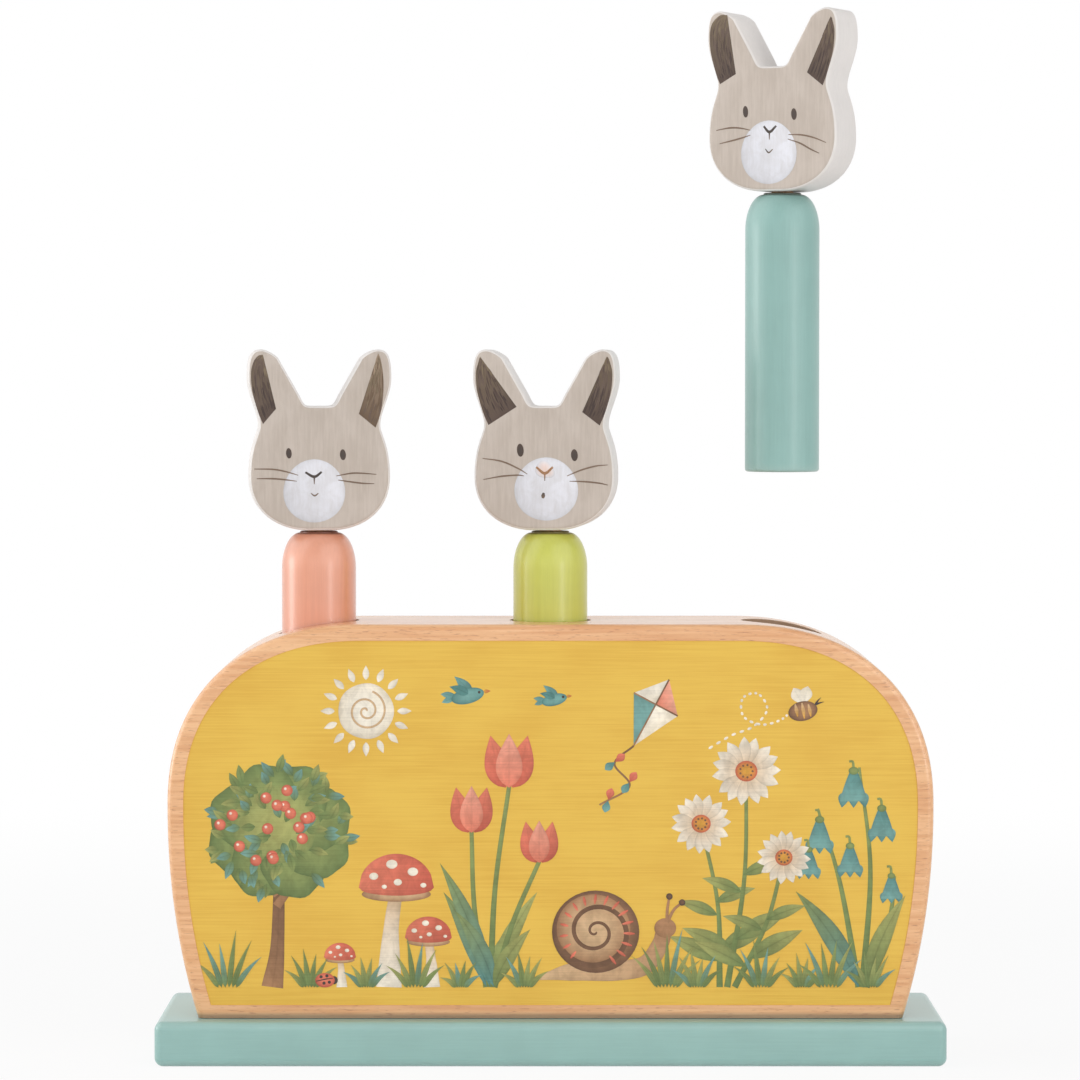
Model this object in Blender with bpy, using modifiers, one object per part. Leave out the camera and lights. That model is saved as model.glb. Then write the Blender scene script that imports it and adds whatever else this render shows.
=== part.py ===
# Pop up animal toy: three turned pegs with rabbit heads stand on springs in a wooden block.
# Metres, +Z up. The origin is the middle of the base board's underside, and the front faces -Y.

import math

import bmesh
import bpy

# Clearances and cuts
FIT_GAP = 0.0003             # left between two faces that meet
RUNNING_GAP = 0.0006         # between a peg and the wall of its hole
CAP_GAP = 0.0009             # between a spring cap and the wall of its hole
SPRING_GAP = 0.0021          # between a spring and the wall of its hole
CUT_OVERRUN = 0.005          # how far a cutter reaches past the face that it opens

# Base board
BASE_LENGTH = 0.210
BASE_DEPTH = 0.060
BASE_HEIGHT = 0.012
BASE_EDGE_RADIUS = 0.0023

# Body block, a loaf outline that is cut square to the front
BLOCK_WIDTH = 0.2038         # at its widest
BLOCK_FOOT_WIDTH = 0.1878
BLOCK_DEPTH = 0.046
BLOCK_HEIGHT = 0.1047
BLOCK_WIDEST_HEIGHT = 0.056  # height of the widest place above the block's underside
SHOULDER_WIDTH = 0.0525      # from the end of the flat top to the widest place
BLOCK_EDGE_RADIUS = 0.0018
SIDE_POWER = 2.1             # how late the side draws in towards the foot
SHOULDER_POWER = 2.28        # 2 would be an ellipse, and more is squarer
SIDE_STEPS = 9
SHOULDER_STEPS = 18

# Front panel, a thin printed sheet let into the front of the block
PANEL_THICKNESS = 0.0010
PANEL_SET_BACK = 0.0002      # of the panel's face behind the block's front
PANEL_BORDER = 0.0048        # wood left around the panel
PANEL_FOOT_BORDER = 0.0033   # wood left under the panel

# Pegs
PEG_SPACING = 0.0625
PEG_DIAMETER = 0.020
PEG_LENGTH = 0.075
PEG_RISE = 0.0241            # how much of a seated peg stands above the block
PEG_NECK_DIAMETER = 0.0102
PEG_NECK_HEIGHT = 0.0010
PEG_DOME_HEIGHT = 0.0092
PEG_FOOT_RADIUS = 0.0008
DOME_STEPS = 6
FOOT_STEPS = 3

# Neck pins, hidden dowels that join the heads to the pegs
PIN_DIAMETER = 0.006
PIN_DEPTH_IN_PEG = 0.011
PIN_DEPTH_IN_HEAD = 0.009
PIN_CHAMFER = 0.0006

# Heads, half of the outline in heights above the chin and distances from the middle
HEAD_THICKNESS = 0.014
HEAD_EDGE_RADIUS = 0.0011
CHIN_HALF = 0.0027           # half of the flat that sits on the peg
CHEEK_HALF = 0.0189
CHEEK_HEIGHT = 0.0144
TEMPLE_HALF = 0.0163
TEMPLE_HEIGHT = 0.0284
EAR_HALF = 0.0193
EAR_HEIGHT = 0.0411
EAR_TIP_HALF = 0.0156
HEAD_HEIGHT = 0.0486
EAR_INNER_HALF = 0.0110
EAR_INNER_HEIGHT = 0.0461
NOTCH_HALF = 0.0015
NOTCH_SIDE_HALF = 0.0060
NOTCH_SIDE_HEIGHT = 0.0373
NOTCH_HEIGHT = 0.0334
HEAD_CURVE_STEPS = 7

# Springs, their caps and their seats
WIRE_DIAMETER = 0.0012
SPRING_END_PITCH = 0.00180   # rise of the closed turn at each end
SPRING_TURNS = 9
POINTS_PER_TURN = 9
CAP_THICKNESS = 0.0030
CAP_SPIGOT_LENGTH = 0.0050
SEAT_HEIGHT = 0.0060
SPRING_EDGE_CHAMFER = 0.0005  # on caps and seats

# Countersunk wood screws: four hold the block, and one holds each spring seat
SCREW_HEAD_DIAMETER = 0.0076
SCREW_SHANK_DIAMETER = 0.0038
SCREW_POINT_LENGTH = 0.0035
SCREW_RIM = 0.0004           # straight edge of the head above its cone
SCREW_SET_BACK = 0.0006      # of a head below the surface that it is driven into
CROSS_LENGTH = 0.0046
CROSS_WIDTH = 0.0011
CROSS_DEPTH = 0.0013
BASE_SCREW_LENGTH = 0.032
SEAT_SCREW_LENGTH = 0.0125
END_SCREW_MARGIN = 0.0100    # of the outer two block screws from the block's feet

# The pegs as they are shown: how far each is lifted off its seat, how far its face is turned,
# and how far its head is pinned off its middle
LEFT_LIFT = 0.0
MIDDLE_LIFT = 0.0
RIGHT_LIFT = 0.091
LEFT_TURN = math.radians(5.0)
MIDDLE_TURN = math.radians(-6.0)
RIGHT_TURN = math.radians(-28.0)
LEFT_HEAD_SHIFT = 0.0
MIDDLE_HEAD_SHIFT = -0.0010
RIGHT_HEAD_SHIFT = 0.0

ROUND_STEPS = 28             # facets round a peg or its hole
SMALL_ROUND_STEPS = 16       # facets round a screw, a pin or its bore
EDGE_STEPS = 3
SMOOTH_ANGLE = math.radians(35.0)
MERGE_DISTANCE = 0.00001

WOOD = (0.80, 0.52, 0.30)
YELLOW = (0.84, 0.53, 0.11)
MINT = (0.26, 0.51, 0.46)
CORAL = (0.85, 0.33, 0.20)
LIME = (0.53, 0.56, 0.08)
CREAM = (0.83, 0.76, 0.70)
STEEL = (0.56, 0.57, 0.58)
NYLON = (0.80, 0.80, 0.77)

BASE_TOP = BASE_HEIGHT
BLOCK_FOOT = BASE_TOP + FIT_GAP
BLOCK_TOP = BLOCK_FOOT + BLOCK_HEIGHT
BLOCK_FRONT = -BLOCK_DEPTH / 2
PEG_SEAT = BLOCK_TOP + PEG_RISE - PEG_LENGTH
PEG_RADIUS = PEG_DIAMETER / 2
HOLE_RADIUS = PEG_RADIUS + RUNNING_GAP
CAP_RADIUS = HOLE_RADIUS - CAP_GAP
CAP_TOP = PEG_SEAT - FIT_GAP
CAP_UNDERSIDE = CAP_TOP - CAP_THICKNESS
SPRING_FOOT = BASE_TOP + FIT_GAP
SPRING_TOP = CAP_UNDERSIDE - FIT_GAP
WIRE_RADIUS = WIRE_DIAMETER / 2
COIL_RADIUS = HOLE_RADIUS - SPRING_GAP - WIRE_RADIUS
COIL_BORE_RADIUS = COIL_RADIUS * math.cos(math.pi / POINTS_PER_TURN) - WIRE_RADIUS
SPIGOT_RADIUS = COIL_BORE_RADIUS - FIT_GAP
SEAT_TOP = SPRING_FOOT + SEAT_HEIGHT
PIN_RADIUS = PIN_DIAMETER / 2
SHANK_RADIUS = SCREW_SHANK_DIAMETER / 2
SCREW_HEAD_RADIUS = SCREW_HEAD_DIAMETER / 2


def clear_scene():
    for item in list(bpy.data.objects):
        bpy.data.objects.remove(item, do_unlink=True)


def new_collection(name):
    collection = bpy.data.collections.new(name)
    bpy.context.scene.collection.children.link(collection)
    return collection


def new_material(name, colour, roughness, metallic=0.0):
    material = bpy.data.materials.new(name)
    material.use_nodes = True
    shader = material.node_tree.nodes["Principled BSDF"]
    shader.inputs["Base Color"].default_value = (*colour, 1.0)
    shader.inputs["Roughness"].default_value = roughness
    shader.inputs["Metallic"].default_value = metallic
    material.diffuse_color = (*colour, 1.0)
    return material


def add_object(name, mesh, collection, material=None):
    item = bpy.data.objects.new(name, mesh)
    collection.objects.link(item)
    if material is not None:
        mesh.materials.append(material)
    return item


def hide_cutter(item):
    item.hide_render = True
    item.display_type = "WIRE"


def smooth(mesh):
    mesh.shade_smooth()
    mesh.set_sharp_from_angle(angle=SMOOTH_ANGLE)


def cut(item, cutter):
    boolean = item.modifiers.new("cut " + cutter.name, "BOOLEAN")
    boolean.operation = "DIFFERENCE"
    boolean.solver = "EXACT"
    boolean.object = cutter


def round_edges(item, radius, limit="ANGLE"):
    bevel = item.modifiers.new("rounded edges", "BEVEL")
    bevel.width = radius
    bevel.segments = EDGE_STEPS
    bevel.limit_method = limit


def box(name, size, centre, collection, material=None):
    mesh = bpy.data.meshes.new(name)
    shape = bmesh.new()
    bmesh.ops.create_cube(shape, size=1.0)
    bmesh.ops.scale(shape, vec=size, verts=shape.verts)
    shape.to_mesh(mesh)
    shape.free()
    item = add_object(name, mesh, collection, material)
    item.location = centre
    return item


def turned(name, profile, steps, collection, material=None):
    """Turn a profile of (radius, height) pairs, from its top down its outer side, about Z."""
    mesh = bpy.data.meshes.new(name)
    shape = bmesh.new()
    verts = [shape.verts.new((radius, 0.0, height)) for radius, height in profile]
    for upper, lower in zip(verts, verts[1:]):
        shape.edges.new((upper, lower))
    shape.to_mesh(mesh)
    shape.free()
    item = add_object(name, mesh, collection, material)
    screw = item.modifiers.new("turned", "SCREW")
    screw.axis = "Z"
    screw.steps = steps
    screw.render_steps = steps
    screw.use_merge_vertices = True
    screw.merge_threshold = MERGE_DISTANCE
    screw.use_smooth_shade = True
    return item


def cylinder_cutter(name, radius, bottom, top, steps, place, collection):
    item = turned(name, [(0.0, top), (radius, top), (radius, bottom), (0.0, bottom)], steps, collection)
    item.location = place
    hide_cutter(item)
    return item


def upright_prism(name, curve, depth, collection, material=None):
    """Give a closed flat curve a depth along Y and weld it into one mesh that stands on Z."""
    curve.dimensions = "2D"
    curve.fill_mode = "BOTH"
    curve.extrude = depth / 2
    flat = bpy.data.objects.new(name + " outline", curve)
    collection.objects.link(flat)
    flat.rotation_euler = (math.radians(90.0), 0.0, 0.0)
    bpy.context.view_layer.update()
    mesh = bpy.data.meshes.new_from_object(flat.evaluated_get(bpy.context.evaluated_depsgraph_get()))
    mesh.name = name
    mesh.materials.clear()
    shape = bmesh.new()
    shape.from_mesh(mesh)
    bmesh.ops.remove_doubles(shape, verts=shape.verts, dist=MERGE_DISTANCE)
    bmesh.ops.dissolve_limit(
        shape, angle_limit=math.radians(0.1), verts=shape.verts, edges=shape.edges
    )
    bmesh.ops.transform(shape, matrix=flat.matrix_world, verts=shape.verts)
    shape.to_mesh(mesh)
    shape.free()
    bpy.data.objects.remove(flat, do_unlink=True)
    return add_object(name, mesh, collection, material)


def poly_curve(name, points):
    curve = bpy.data.curves.new(name, "CURVE")
    spline = curve.splines.new("POLY")
    spline.points.add(len(points) - 1)
    for point, (x, z) in zip(spline.points, points):
        point.co = (x, z, 0.0, 1.0)
    spline.use_cyclic_u = True
    return curve


def weigh_rim_edges(mesh):
    """Give the edges round the front and the back their full bevel weight, and no others."""
    weights = mesh.attributes.new("bevel_weight_edge", "FLOAT", "EDGE")
    for edge in mesh.edges:
        first, second = (mesh.vertices[index].co.y for index in edge.vertices)
        weights.data[edge.index].value = 1.0 if abs(first - second) < MERGE_DISTANCE else 0.0


def block_half_outline():
    """Right half of the block's outline, from its foot up to the end of the flat top."""
    half = BLOCK_WIDTH / 2
    draw_in = half - BLOCK_FOOT_WIDTH / 2
    flat_half = half - SHOULDER_WIDTH
    shoulder_height = BLOCK_HEIGHT - BLOCK_WIDEST_HEIGHT
    points = []
    for step in range(SIDE_STEPS):
        share = 1.0 - step / SIDE_STEPS
        x = half - draw_in * share ** SIDE_POWER
        points.append((x, BLOCK_WIDEST_HEIGHT * (1.0 - share)))
    for step in range(SHOULDER_STEPS + 1):
        angle = math.pi / 2 * step / SHOULDER_STEPS
        across = max(math.cos(angle), 0.0) ** (2.0 / SHOULDER_POWER)
        up = math.sin(angle) ** (2.0 / SHOULDER_POWER)
        points.append((flat_half + SHOULDER_WIDTH * across, BLOCK_WIDEST_HEIGHT + shoulder_height * up))
    return points


def inset_half_outline(points, inset, floor):
    """Move a half outline inwards by inset, square to itself, and cut it off level at floor."""
    moved = []
    for index, (x, z) in enumerate(points):
        before = points[max(index - 1, 0)]
        after = points[min(index + 1, len(points) - 1)]
        run, rise = after[0] - before[0], after[1] - before[1]
        length = math.hypot(run, rise)
        is_top = index == len(points) - 1
        normal = (0.0, 1.0) if is_top else (rise / length, -run / length)
        moved.append((x - inset * normal[0], z - inset * normal[1]))
    kept = [point for point in moved if point[1] > floor]
    first_kept = len(moved) - len(kept)
    below = moved[max(first_kept - 1, 0)]  # where none is below, the first run goes on down
    above = moved[max(first_kept, 1)]
    share = (floor - below[1]) / (above[1] - below[1])
    return [(below[0] + share * (above[0] - below[0]), floor)] + kept


def whole_outline(half):
    return half + [(-x, z) for x, z in reversed(half)]


def make_base(parts, cutters, paint):
    base = box(
        "base_board",
        (BASE_LENGTH, BASE_DEPTH, BASE_HEIGHT),
        (0.0, 0.0, BASE_HEIGHT / 2),
        parts,
        paint,
    )
    round_edges(base, BASE_EDGE_RADIUS)
    smooth(base.data)
    for index, x in enumerate(block_screw_places()):
        cone_depth = SCREW_HEAD_RADIUS - SHANK_RADIUS
        head_top = SCREW_SET_BACK
        profile = [
            (0.0, BASE_TOP + CUT_OVERRUN),
            (SHANK_RADIUS + FIT_GAP, BASE_TOP + CUT_OVERRUN),
            (SHANK_RADIUS + FIT_GAP, head_top + SCREW_RIM + cone_depth + FIT_GAP),
            (SCREW_HEAD_RADIUS + FIT_GAP, head_top + SCREW_RIM + FIT_GAP),
            (SCREW_HEAD_RADIUS + FIT_GAP, -CUT_OVERRUN),
            (0.0, -CUT_OVERRUN),
        ]
        name = f"cutter base screw {index + 1}"
        cutter = turned(name, profile, SMALL_ROUND_STEPS, cutters)
        cutter.location = (x, 0.0, 0.0)
        hide_cutter(cutter)
        cut(base, cutter)
    for side, x in peg_places():
        bottom = SEAT_TOP - SCREW_SET_BACK - SEAT_SCREW_LENGTH - FIT_GAP
        cutter = cylinder_cutter(
            f"cutter {side} seat screw",
            SHANK_RADIUS + FIT_GAP,
            bottom,
            BASE_TOP + CUT_OVERRUN,
            SMALL_ROUND_STEPS,
            (x, 0.0, 0.0),
            cutters,
        )
        cut(base, cutter)


def make_block(parts, cutters, wood):
    half = [(x, z + BLOCK_FOOT) for x, z in block_half_outline()]
    curve = poly_curve("body_block", whole_outline(half))
    block = upright_prism("body_block", curve, BLOCK_DEPTH, parts, wood)
    weigh_rim_edges(block.data)
    smooth(block.data)
    round_edges(block, BLOCK_EDGE_RADIUS, limit="WEIGHT")
    for side, x in peg_places():
        cutter = cylinder_cutter(
            f"cutter {side} hole",
            HOLE_RADIUS,
            BLOCK_FOOT - CUT_OVERRUN,
            BLOCK_TOP + CUT_OVERRUN,
            ROUND_STEPS,
            (x, 0.0, 0.0),
            cutters,
        )
        cut(block, cutter)
    recess_depth = PANEL_SET_BACK + PANEL_THICKNESS + FIT_GAP
    recess_half = inset_half_outline(half, PANEL_BORDER, BLOCK_FOOT + PANEL_FOOT_BORDER)
    cutter = upright_prism(
        "cutter panel recess",
        poly_curve("cutter panel recess", whole_outline(recess_half)),
        recess_depth + CUT_OVERRUN,
        cutters,
    )
    cutter.location.y = BLOCK_FRONT + (recess_depth - CUT_OVERRUN) / 2
    hide_cutter(cutter)
    cut(block, cutter)
    for index, x in enumerate(block_screw_places()):
        cutter = cylinder_cutter(
            f"cutter block screw {index + 1}",
            SHANK_RADIUS + FIT_GAP,
            BLOCK_FOOT - CUT_OVERRUN,
            SCREW_SET_BACK + BASE_SCREW_LENGTH + FIT_GAP,
            SMALL_ROUND_STEPS,
            (x, 0.0, 0.0),
            cutters,
        )
        cut(block, cutter)
    return half


def make_panel(half, parts, print_paint):
    border = PANEL_BORDER + FIT_GAP
    floor = BLOCK_FOOT + PANEL_FOOT_BORDER + FIT_GAP
    panel_half = inset_half_outline(half, border, floor)
    curve = poly_curve("front_panel", whole_outline(panel_half))
    panel = upright_prism("front_panel", curve, PANEL_THICKNESS, parts, print_paint)
    panel.location.y = BLOCK_FRONT + PANEL_SET_BACK + PANEL_THICKNESS / 2
    smooth(panel.data)


def make_screw(name, length, parts, cutters, steel):
    """A countersunk wood screw along Z, with its flat head at zero and its point below."""
    cone_depth = SCREW_HEAD_RADIUS - SHANK_RADIUS
    profile = [
        (0.0, 0.0),
        (SCREW_HEAD_RADIUS, 0.0),
        (SCREW_HEAD_RADIUS, -SCREW_RIM),
        (SHANK_RADIUS, -SCREW_RIM - cone_depth),
        (SHANK_RADIUS, SCREW_POINT_LENGTH - length),
        (0.0, -length),
    ]
    screw = turned(name, profile, SMALL_ROUND_STEPS, parts, steel)
    for index, size in enumerate(((CROSS_LENGTH, CROSS_WIDTH), (CROSS_WIDTH, CROSS_LENGTH))):
        cutter = box(
            f"cutter {name} cross {index + 1}",
            (size[0], size[1], CROSS_DEPTH + CUT_OVERRUN),
            (0.0, 0.0, (CUT_OVERRUN - CROSS_DEPTH) / 2),
            cutters,
        )
        cutter.parent = screw
        hide_cutter(cutter)
        cut(screw, cutter)
    return screw


def block_screw_places():
    """Two screws between the peg holes and one outside each end hole."""
    between = PEG_SPACING / 2
    outer = BLOCK_FOOT_WIDTH / 2 - END_SCREW_MARGIN
    return (-outer, -between, between, outer)


def peg_places():
    return (("left", -PEG_SPACING), ("middle", 0.0), ("right", PEG_SPACING))


def make_block_screws(parts, cutters, steel):
    for index, x in enumerate(block_screw_places()):
        screw = make_screw(f"base_screw_{index + 1}", BASE_SCREW_LENGTH, parts, cutters, steel)
        screw.rotation_euler = (math.pi, 0.0, 0.0)
        screw.location = (x, 0.0, SCREW_SET_BACK)


def spring_points():
    """Centre line of a compression spring: a closed turn at each end, open turns between."""
    foot = SPRING_FOOT + WIRE_RADIUS
    rise = SPRING_TOP - SPRING_FOOT - WIRE_DIAMETER
    open_pitch = (rise - 2 * SPRING_END_PITCH) / (SPRING_TURNS - 2)
    count = SPRING_TURNS * POINTS_PER_TURN
    points = []
    for index in range(count + 1):
        turns = index / POINTS_PER_TURN
        lower = min(turns, 1.0)
        upper = max(turns - (SPRING_TURNS - 1), 0.0)
        middle = turns - lower - upper
        height = foot + SPRING_END_PITCH * (lower + upper) + open_pitch * middle
        angle = 2.0 * math.pi * turns
        points.append((COIL_RADIUS * math.cos(angle), COIL_RADIUS * math.sin(angle), height))
    first, last = points[0], points[-1]
    lead_in = (first[0], first[1] - WIRE_DIAMETER, first[2])
    lead_out = (last[0], last[1] + WIRE_DIAMETER, last[2])
    return [lead_in] + points + [lead_out]


def print_least_gap(name, points):
    """Print how near the wire comes to itself, measured between points over half a turn apart."""
    apart = POINTS_PER_TURN // 2 + 1
    least = min(
        math.dist(point, other)
        for index, point in enumerate(points)
        for other in points[index + apart:]
    )
    print(f"{name}: least gap {(least - WIRE_DIAMETER) * 1000.0:.2f} mm")


def make_spring(name, x, parts, steel):
    points = spring_points()
    print_least_gap(name, points)
    curve = bpy.data.curves.new(name, "CURVE")
    curve.dimensions = "3D"
    curve.bevel_depth = WIRE_RADIUS
    curve.bevel_resolution = 1
    curve.use_fill_caps = True
    spline = curve.splines.new("POLY")
    spline.points.add(len(points) - 1)
    for point, place in zip(spline.points, points):
        point.co = (*place, 1.0)
    spring = add_object(name, curve, parts, steel)
    spring.location.x = x
    return spring


def make_spring_cap(name, x, parts, nylon):
    """A follower with a spigot in the spring's last turns. The peg stands on it."""
    chamfer = SPRING_EDGE_CHAMFER
    spigot_end = CAP_UNDERSIDE - CAP_SPIGOT_LENGTH
    profile = [
        (0.0, CAP_TOP),
        (CAP_RADIUS - chamfer, CAP_TOP),
        (CAP_RADIUS, CAP_TOP - chamfer),
        (CAP_RADIUS, CAP_UNDERSIDE),
        (SPIGOT_RADIUS, CAP_UNDERSIDE),
        (SPIGOT_RADIUS, spigot_end + chamfer),
        (SPIGOT_RADIUS - chamfer, spigot_end),
        (0.0, spigot_end),
    ]
    cap = turned(name, profile, ROUND_STEPS, parts, nylon)
    cap.location.x = x


def make_spring_seat(side, x, parts, cutters, wood):
    """A plug that the spring's first turns grip, with a countersunk hole for its screw."""
    chamfer = SPRING_EDGE_CHAMFER
    profile = [
        (0.0, SEAT_TOP),
        (SPIGOT_RADIUS - chamfer, SEAT_TOP),
        (SPIGOT_RADIUS, SEAT_TOP - chamfer),
        (SPIGOT_RADIUS, SPRING_FOOT),
        (0.0, SPRING_FOOT),
    ]
    seat = turned(f"{side}_spring_seat", profile, ROUND_STEPS, parts, wood)
    seat.location.x = x
    head_top = SEAT_TOP - SCREW_SET_BACK
    cone_depth = SCREW_HEAD_RADIUS - SHANK_RADIUS
    bore = [
        (0.0, SEAT_TOP + CUT_OVERRUN),
        (SCREW_HEAD_RADIUS + FIT_GAP, SEAT_TOP + CUT_OVERRUN),
        (SCREW_HEAD_RADIUS + FIT_GAP, head_top - SCREW_RIM - FIT_GAP),
        (SHANK_RADIUS + FIT_GAP, head_top - SCREW_RIM - cone_depth - FIT_GAP),
        (SHANK_RADIUS + FIT_GAP, SPRING_FOOT - CUT_OVERRUN),
        (0.0, SPRING_FOOT - CUT_OVERRUN),
    ]
    cutter = turned(f"cutter {side} seat bore", bore, SMALL_ROUND_STEPS, cutters)
    cutter.location.x = x
    hide_cutter(cutter)
    cut(seat, cutter)


def peg_profile():
    """Half section of a peg that stands on zero: flat neck, domed shoulder, eased foot."""
    neck = PEG_NECK_DIAMETER / 2
    dome_foot = PEG_LENGTH - PEG_NECK_HEIGHT - PEG_DOME_HEIGHT
    profile = [(0.0, PEG_LENGTH), (neck, PEG_LENGTH)]
    for step in range(DOME_STEPS + 1):
        angle = math.pi / 2 * (1.0 - step / DOME_STEPS)
        radius = neck + (PEG_RADIUS - neck) * math.cos(angle)
        profile.append((radius, dome_foot + PEG_DOME_HEIGHT * math.sin(angle)))
    for step in range(FOOT_STEPS + 1):
        angle = math.pi / 2 * step / FOOT_STEPS
        radius = PEG_RADIUS - PEG_FOOT_RADIUS * (1.0 - math.cos(angle))
        profile.append((radius, PEG_FOOT_RADIUS * (1.0 - math.sin(angle))))
    profile.append((0.0, 0.0))
    return profile


def head_half_points():
    """Right half of the rabbit outline as Bezier points, each with its two handles."""
    ear_lean = (EAR_INNER_HALF - NOTCH_SIDE_HALF, EAR_INNER_HEIGHT - NOTCH_SIDE_HEIGHT)
    chin_to_cheek = CHEEK_HALF - CHIN_HALF
    cheek_rise = TEMPLE_HEIGHT - CHEEK_HEIGHT
    ear_rise = EAR_HEIGHT - TEMPLE_HEIGHT
    tip_rise = HEAD_HEIGHT - EAR_HEIGHT
    tip_width = EAR_HALF - EAR_TIP_HALF
    inner_width = EAR_TIP_HALF - EAR_INNER_HALF
    chin_share, cheek_share, face_share, notch_share = 0.53, 0.66, 0.63, 0.70
    temple_shares = (0.19, 0.27, 0.37)
    tip_shares = (0.79, 0.70, 0.31)
    tip_lean, notch_lean = (tuple(share * part for part in ear_lean) for share in (0.11, 0.39))
    return [
        ((CHIN_HALF, 0.0), (0.0, 0.0), (CHIN_HALF + chin_share * chin_to_cheek, 0.0)),
        (
            (CHEEK_HALF, CHEEK_HEIGHT),
            (CHEEK_HALF, CHEEK_HEIGHT * (1.0 - cheek_share)),
            (CHEEK_HALF, CHEEK_HEIGHT + face_share * cheek_rise),
        ),
        (
            (TEMPLE_HALF, TEMPLE_HEIGHT),
            (TEMPLE_HALF, TEMPLE_HEIGHT - temple_shares[0] * cheek_rise),
            (TEMPLE_HALF, TEMPLE_HEIGHT + temple_shares[1] * ear_rise),
        ),
        (
            (EAR_HALF, EAR_HEIGHT),
            (EAR_HALF, EAR_HEIGHT - temple_shares[2] * ear_rise),
            (EAR_HALF, EAR_HEIGHT + tip_shares[0] * tip_rise),
        ),
        (
            (EAR_TIP_HALF, HEAD_HEIGHT),
            (EAR_TIP_HALF + tip_shares[1] * tip_width, HEAD_HEIGHT),
            (EAR_TIP_HALF - tip_shares[2] * inner_width, HEAD_HEIGHT),
        ),
        (
            (EAR_INNER_HALF, EAR_INNER_HEIGHT),
            (EAR_INNER_HALF + tip_lean[0], EAR_INNER_HEIGHT + tip_lean[1]),
            (EAR_INNER_HALF - tip_lean[0], EAR_INNER_HEIGHT - tip_lean[1]),
        ),
        (
            (NOTCH_SIDE_HALF, NOTCH_SIDE_HEIGHT),
            (NOTCH_SIDE_HALF + notch_lean[0], NOTCH_SIDE_HEIGHT + notch_lean[1]),
            (NOTCH_SIDE_HALF - notch_lean[0], NOTCH_SIDE_HEIGHT - notch_lean[1]),
        ),
        (
            (NOTCH_HALF, NOTCH_HEIGHT),
            (NOTCH_HALF + notch_share * (NOTCH_SIDE_HALF - NOTCH_HALF), NOTCH_HEIGHT),
            (0.0, NOTCH_HEIGHT),
        ),
    ]


def head_curve(name):
    """The closed rabbit outline: the right half upwards, then its mirror image downwards."""
    right = head_half_points()
    left = [tuple((-x, z) for x, z in (knot, after, before)) for knot, before, after in reversed(right)]
    curve = bpy.data.curves.new(name, "CURVE")
    curve.resolution_u = HEAD_CURVE_STEPS
    curve.render_resolution_u = HEAD_CURVE_STEPS
    spline = curve.splines.new("BEZIER")
    spline.bezier_points.add(len(right) * 2 - 1)
    for point, (knot, before, after) in zip(spline.bezier_points, right + left):
        point.handle_left_type = "FREE"
        point.handle_right_type = "FREE"
        point.co = (*knot, 0.0)
        point.handle_left = (*before, 0.0)
        point.handle_right = (*after, 0.0)
    spline.use_cyclic_u = True
    return curve


def pin_bore(name, bottom, top, parent, cutters):
    cutter = cylinder_cutter(
        name, PIN_RADIUS + FIT_GAP, bottom, top, SMALL_ROUND_STEPS, (0.0, 0.0, 0.0), cutters
    )
    cutter.parent = parent
    return cutter


def make_peg_group(side, x, shown, parts, cutters, paint, cream, wood):
    """A peg, its neck pin and its head, all on one axis that lifts out, sinks and turns."""
    lift, turn, head_shift = shown
    axis = bpy.data.objects.new(f"{side} peg axis", None)
    parts.objects.link(axis)
    axis.location = (x, 0.0, PEG_SEAT + lift)
    axis.rotation_euler = (0.0, 0.0, turn)

    peg = turned(f"{side}_peg", peg_profile(), ROUND_STEPS, parts, paint)
    peg.parent = axis
    bore_bottom = PEG_LENGTH - PIN_DEPTH_IN_PEG - FIT_GAP
    cut(peg, pin_bore(f"cutter {side} peg bore", bore_bottom, PEG_LENGTH + CUT_OVERRUN, axis, cutters))

    chin = PEG_LENGTH + FIT_GAP
    head = upright_prism(f"{side}_head", head_curve(f"{side}_head"), HEAD_THICKNESS, parts, cream)
    weigh_rim_edges(head.data)
    smooth(head.data)
    round_edges(head, HEAD_EDGE_RADIUS, limit="WEIGHT")
    head.parent = axis
    head.location = (head_shift, 0.0, chin)
    bore_top = PEG_LENGTH + PIN_DEPTH_IN_HEAD + FIT_GAP
    cut(head, pin_bore(f"cutter {side} head bore", chin - CUT_OVERRUN, bore_top, axis, cutters))

    pin_foot = PEG_LENGTH - PIN_DEPTH_IN_PEG
    pin_top = PEG_LENGTH + PIN_DEPTH_IN_HEAD
    profile = [
        (0.0, pin_top),
        (PIN_RADIUS - PIN_CHAMFER, pin_top),
        (PIN_RADIUS, pin_top - PIN_CHAMFER),
        (PIN_RADIUS, pin_foot + PIN_CHAMFER),
        (PIN_RADIUS - PIN_CHAMFER, pin_foot),
        (0.0, pin_foot),
    ]
    pin = turned(f"{side}_neck_pin", profile, SMALL_ROUND_STEPS, parts, wood)
    pin.parent = axis


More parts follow.
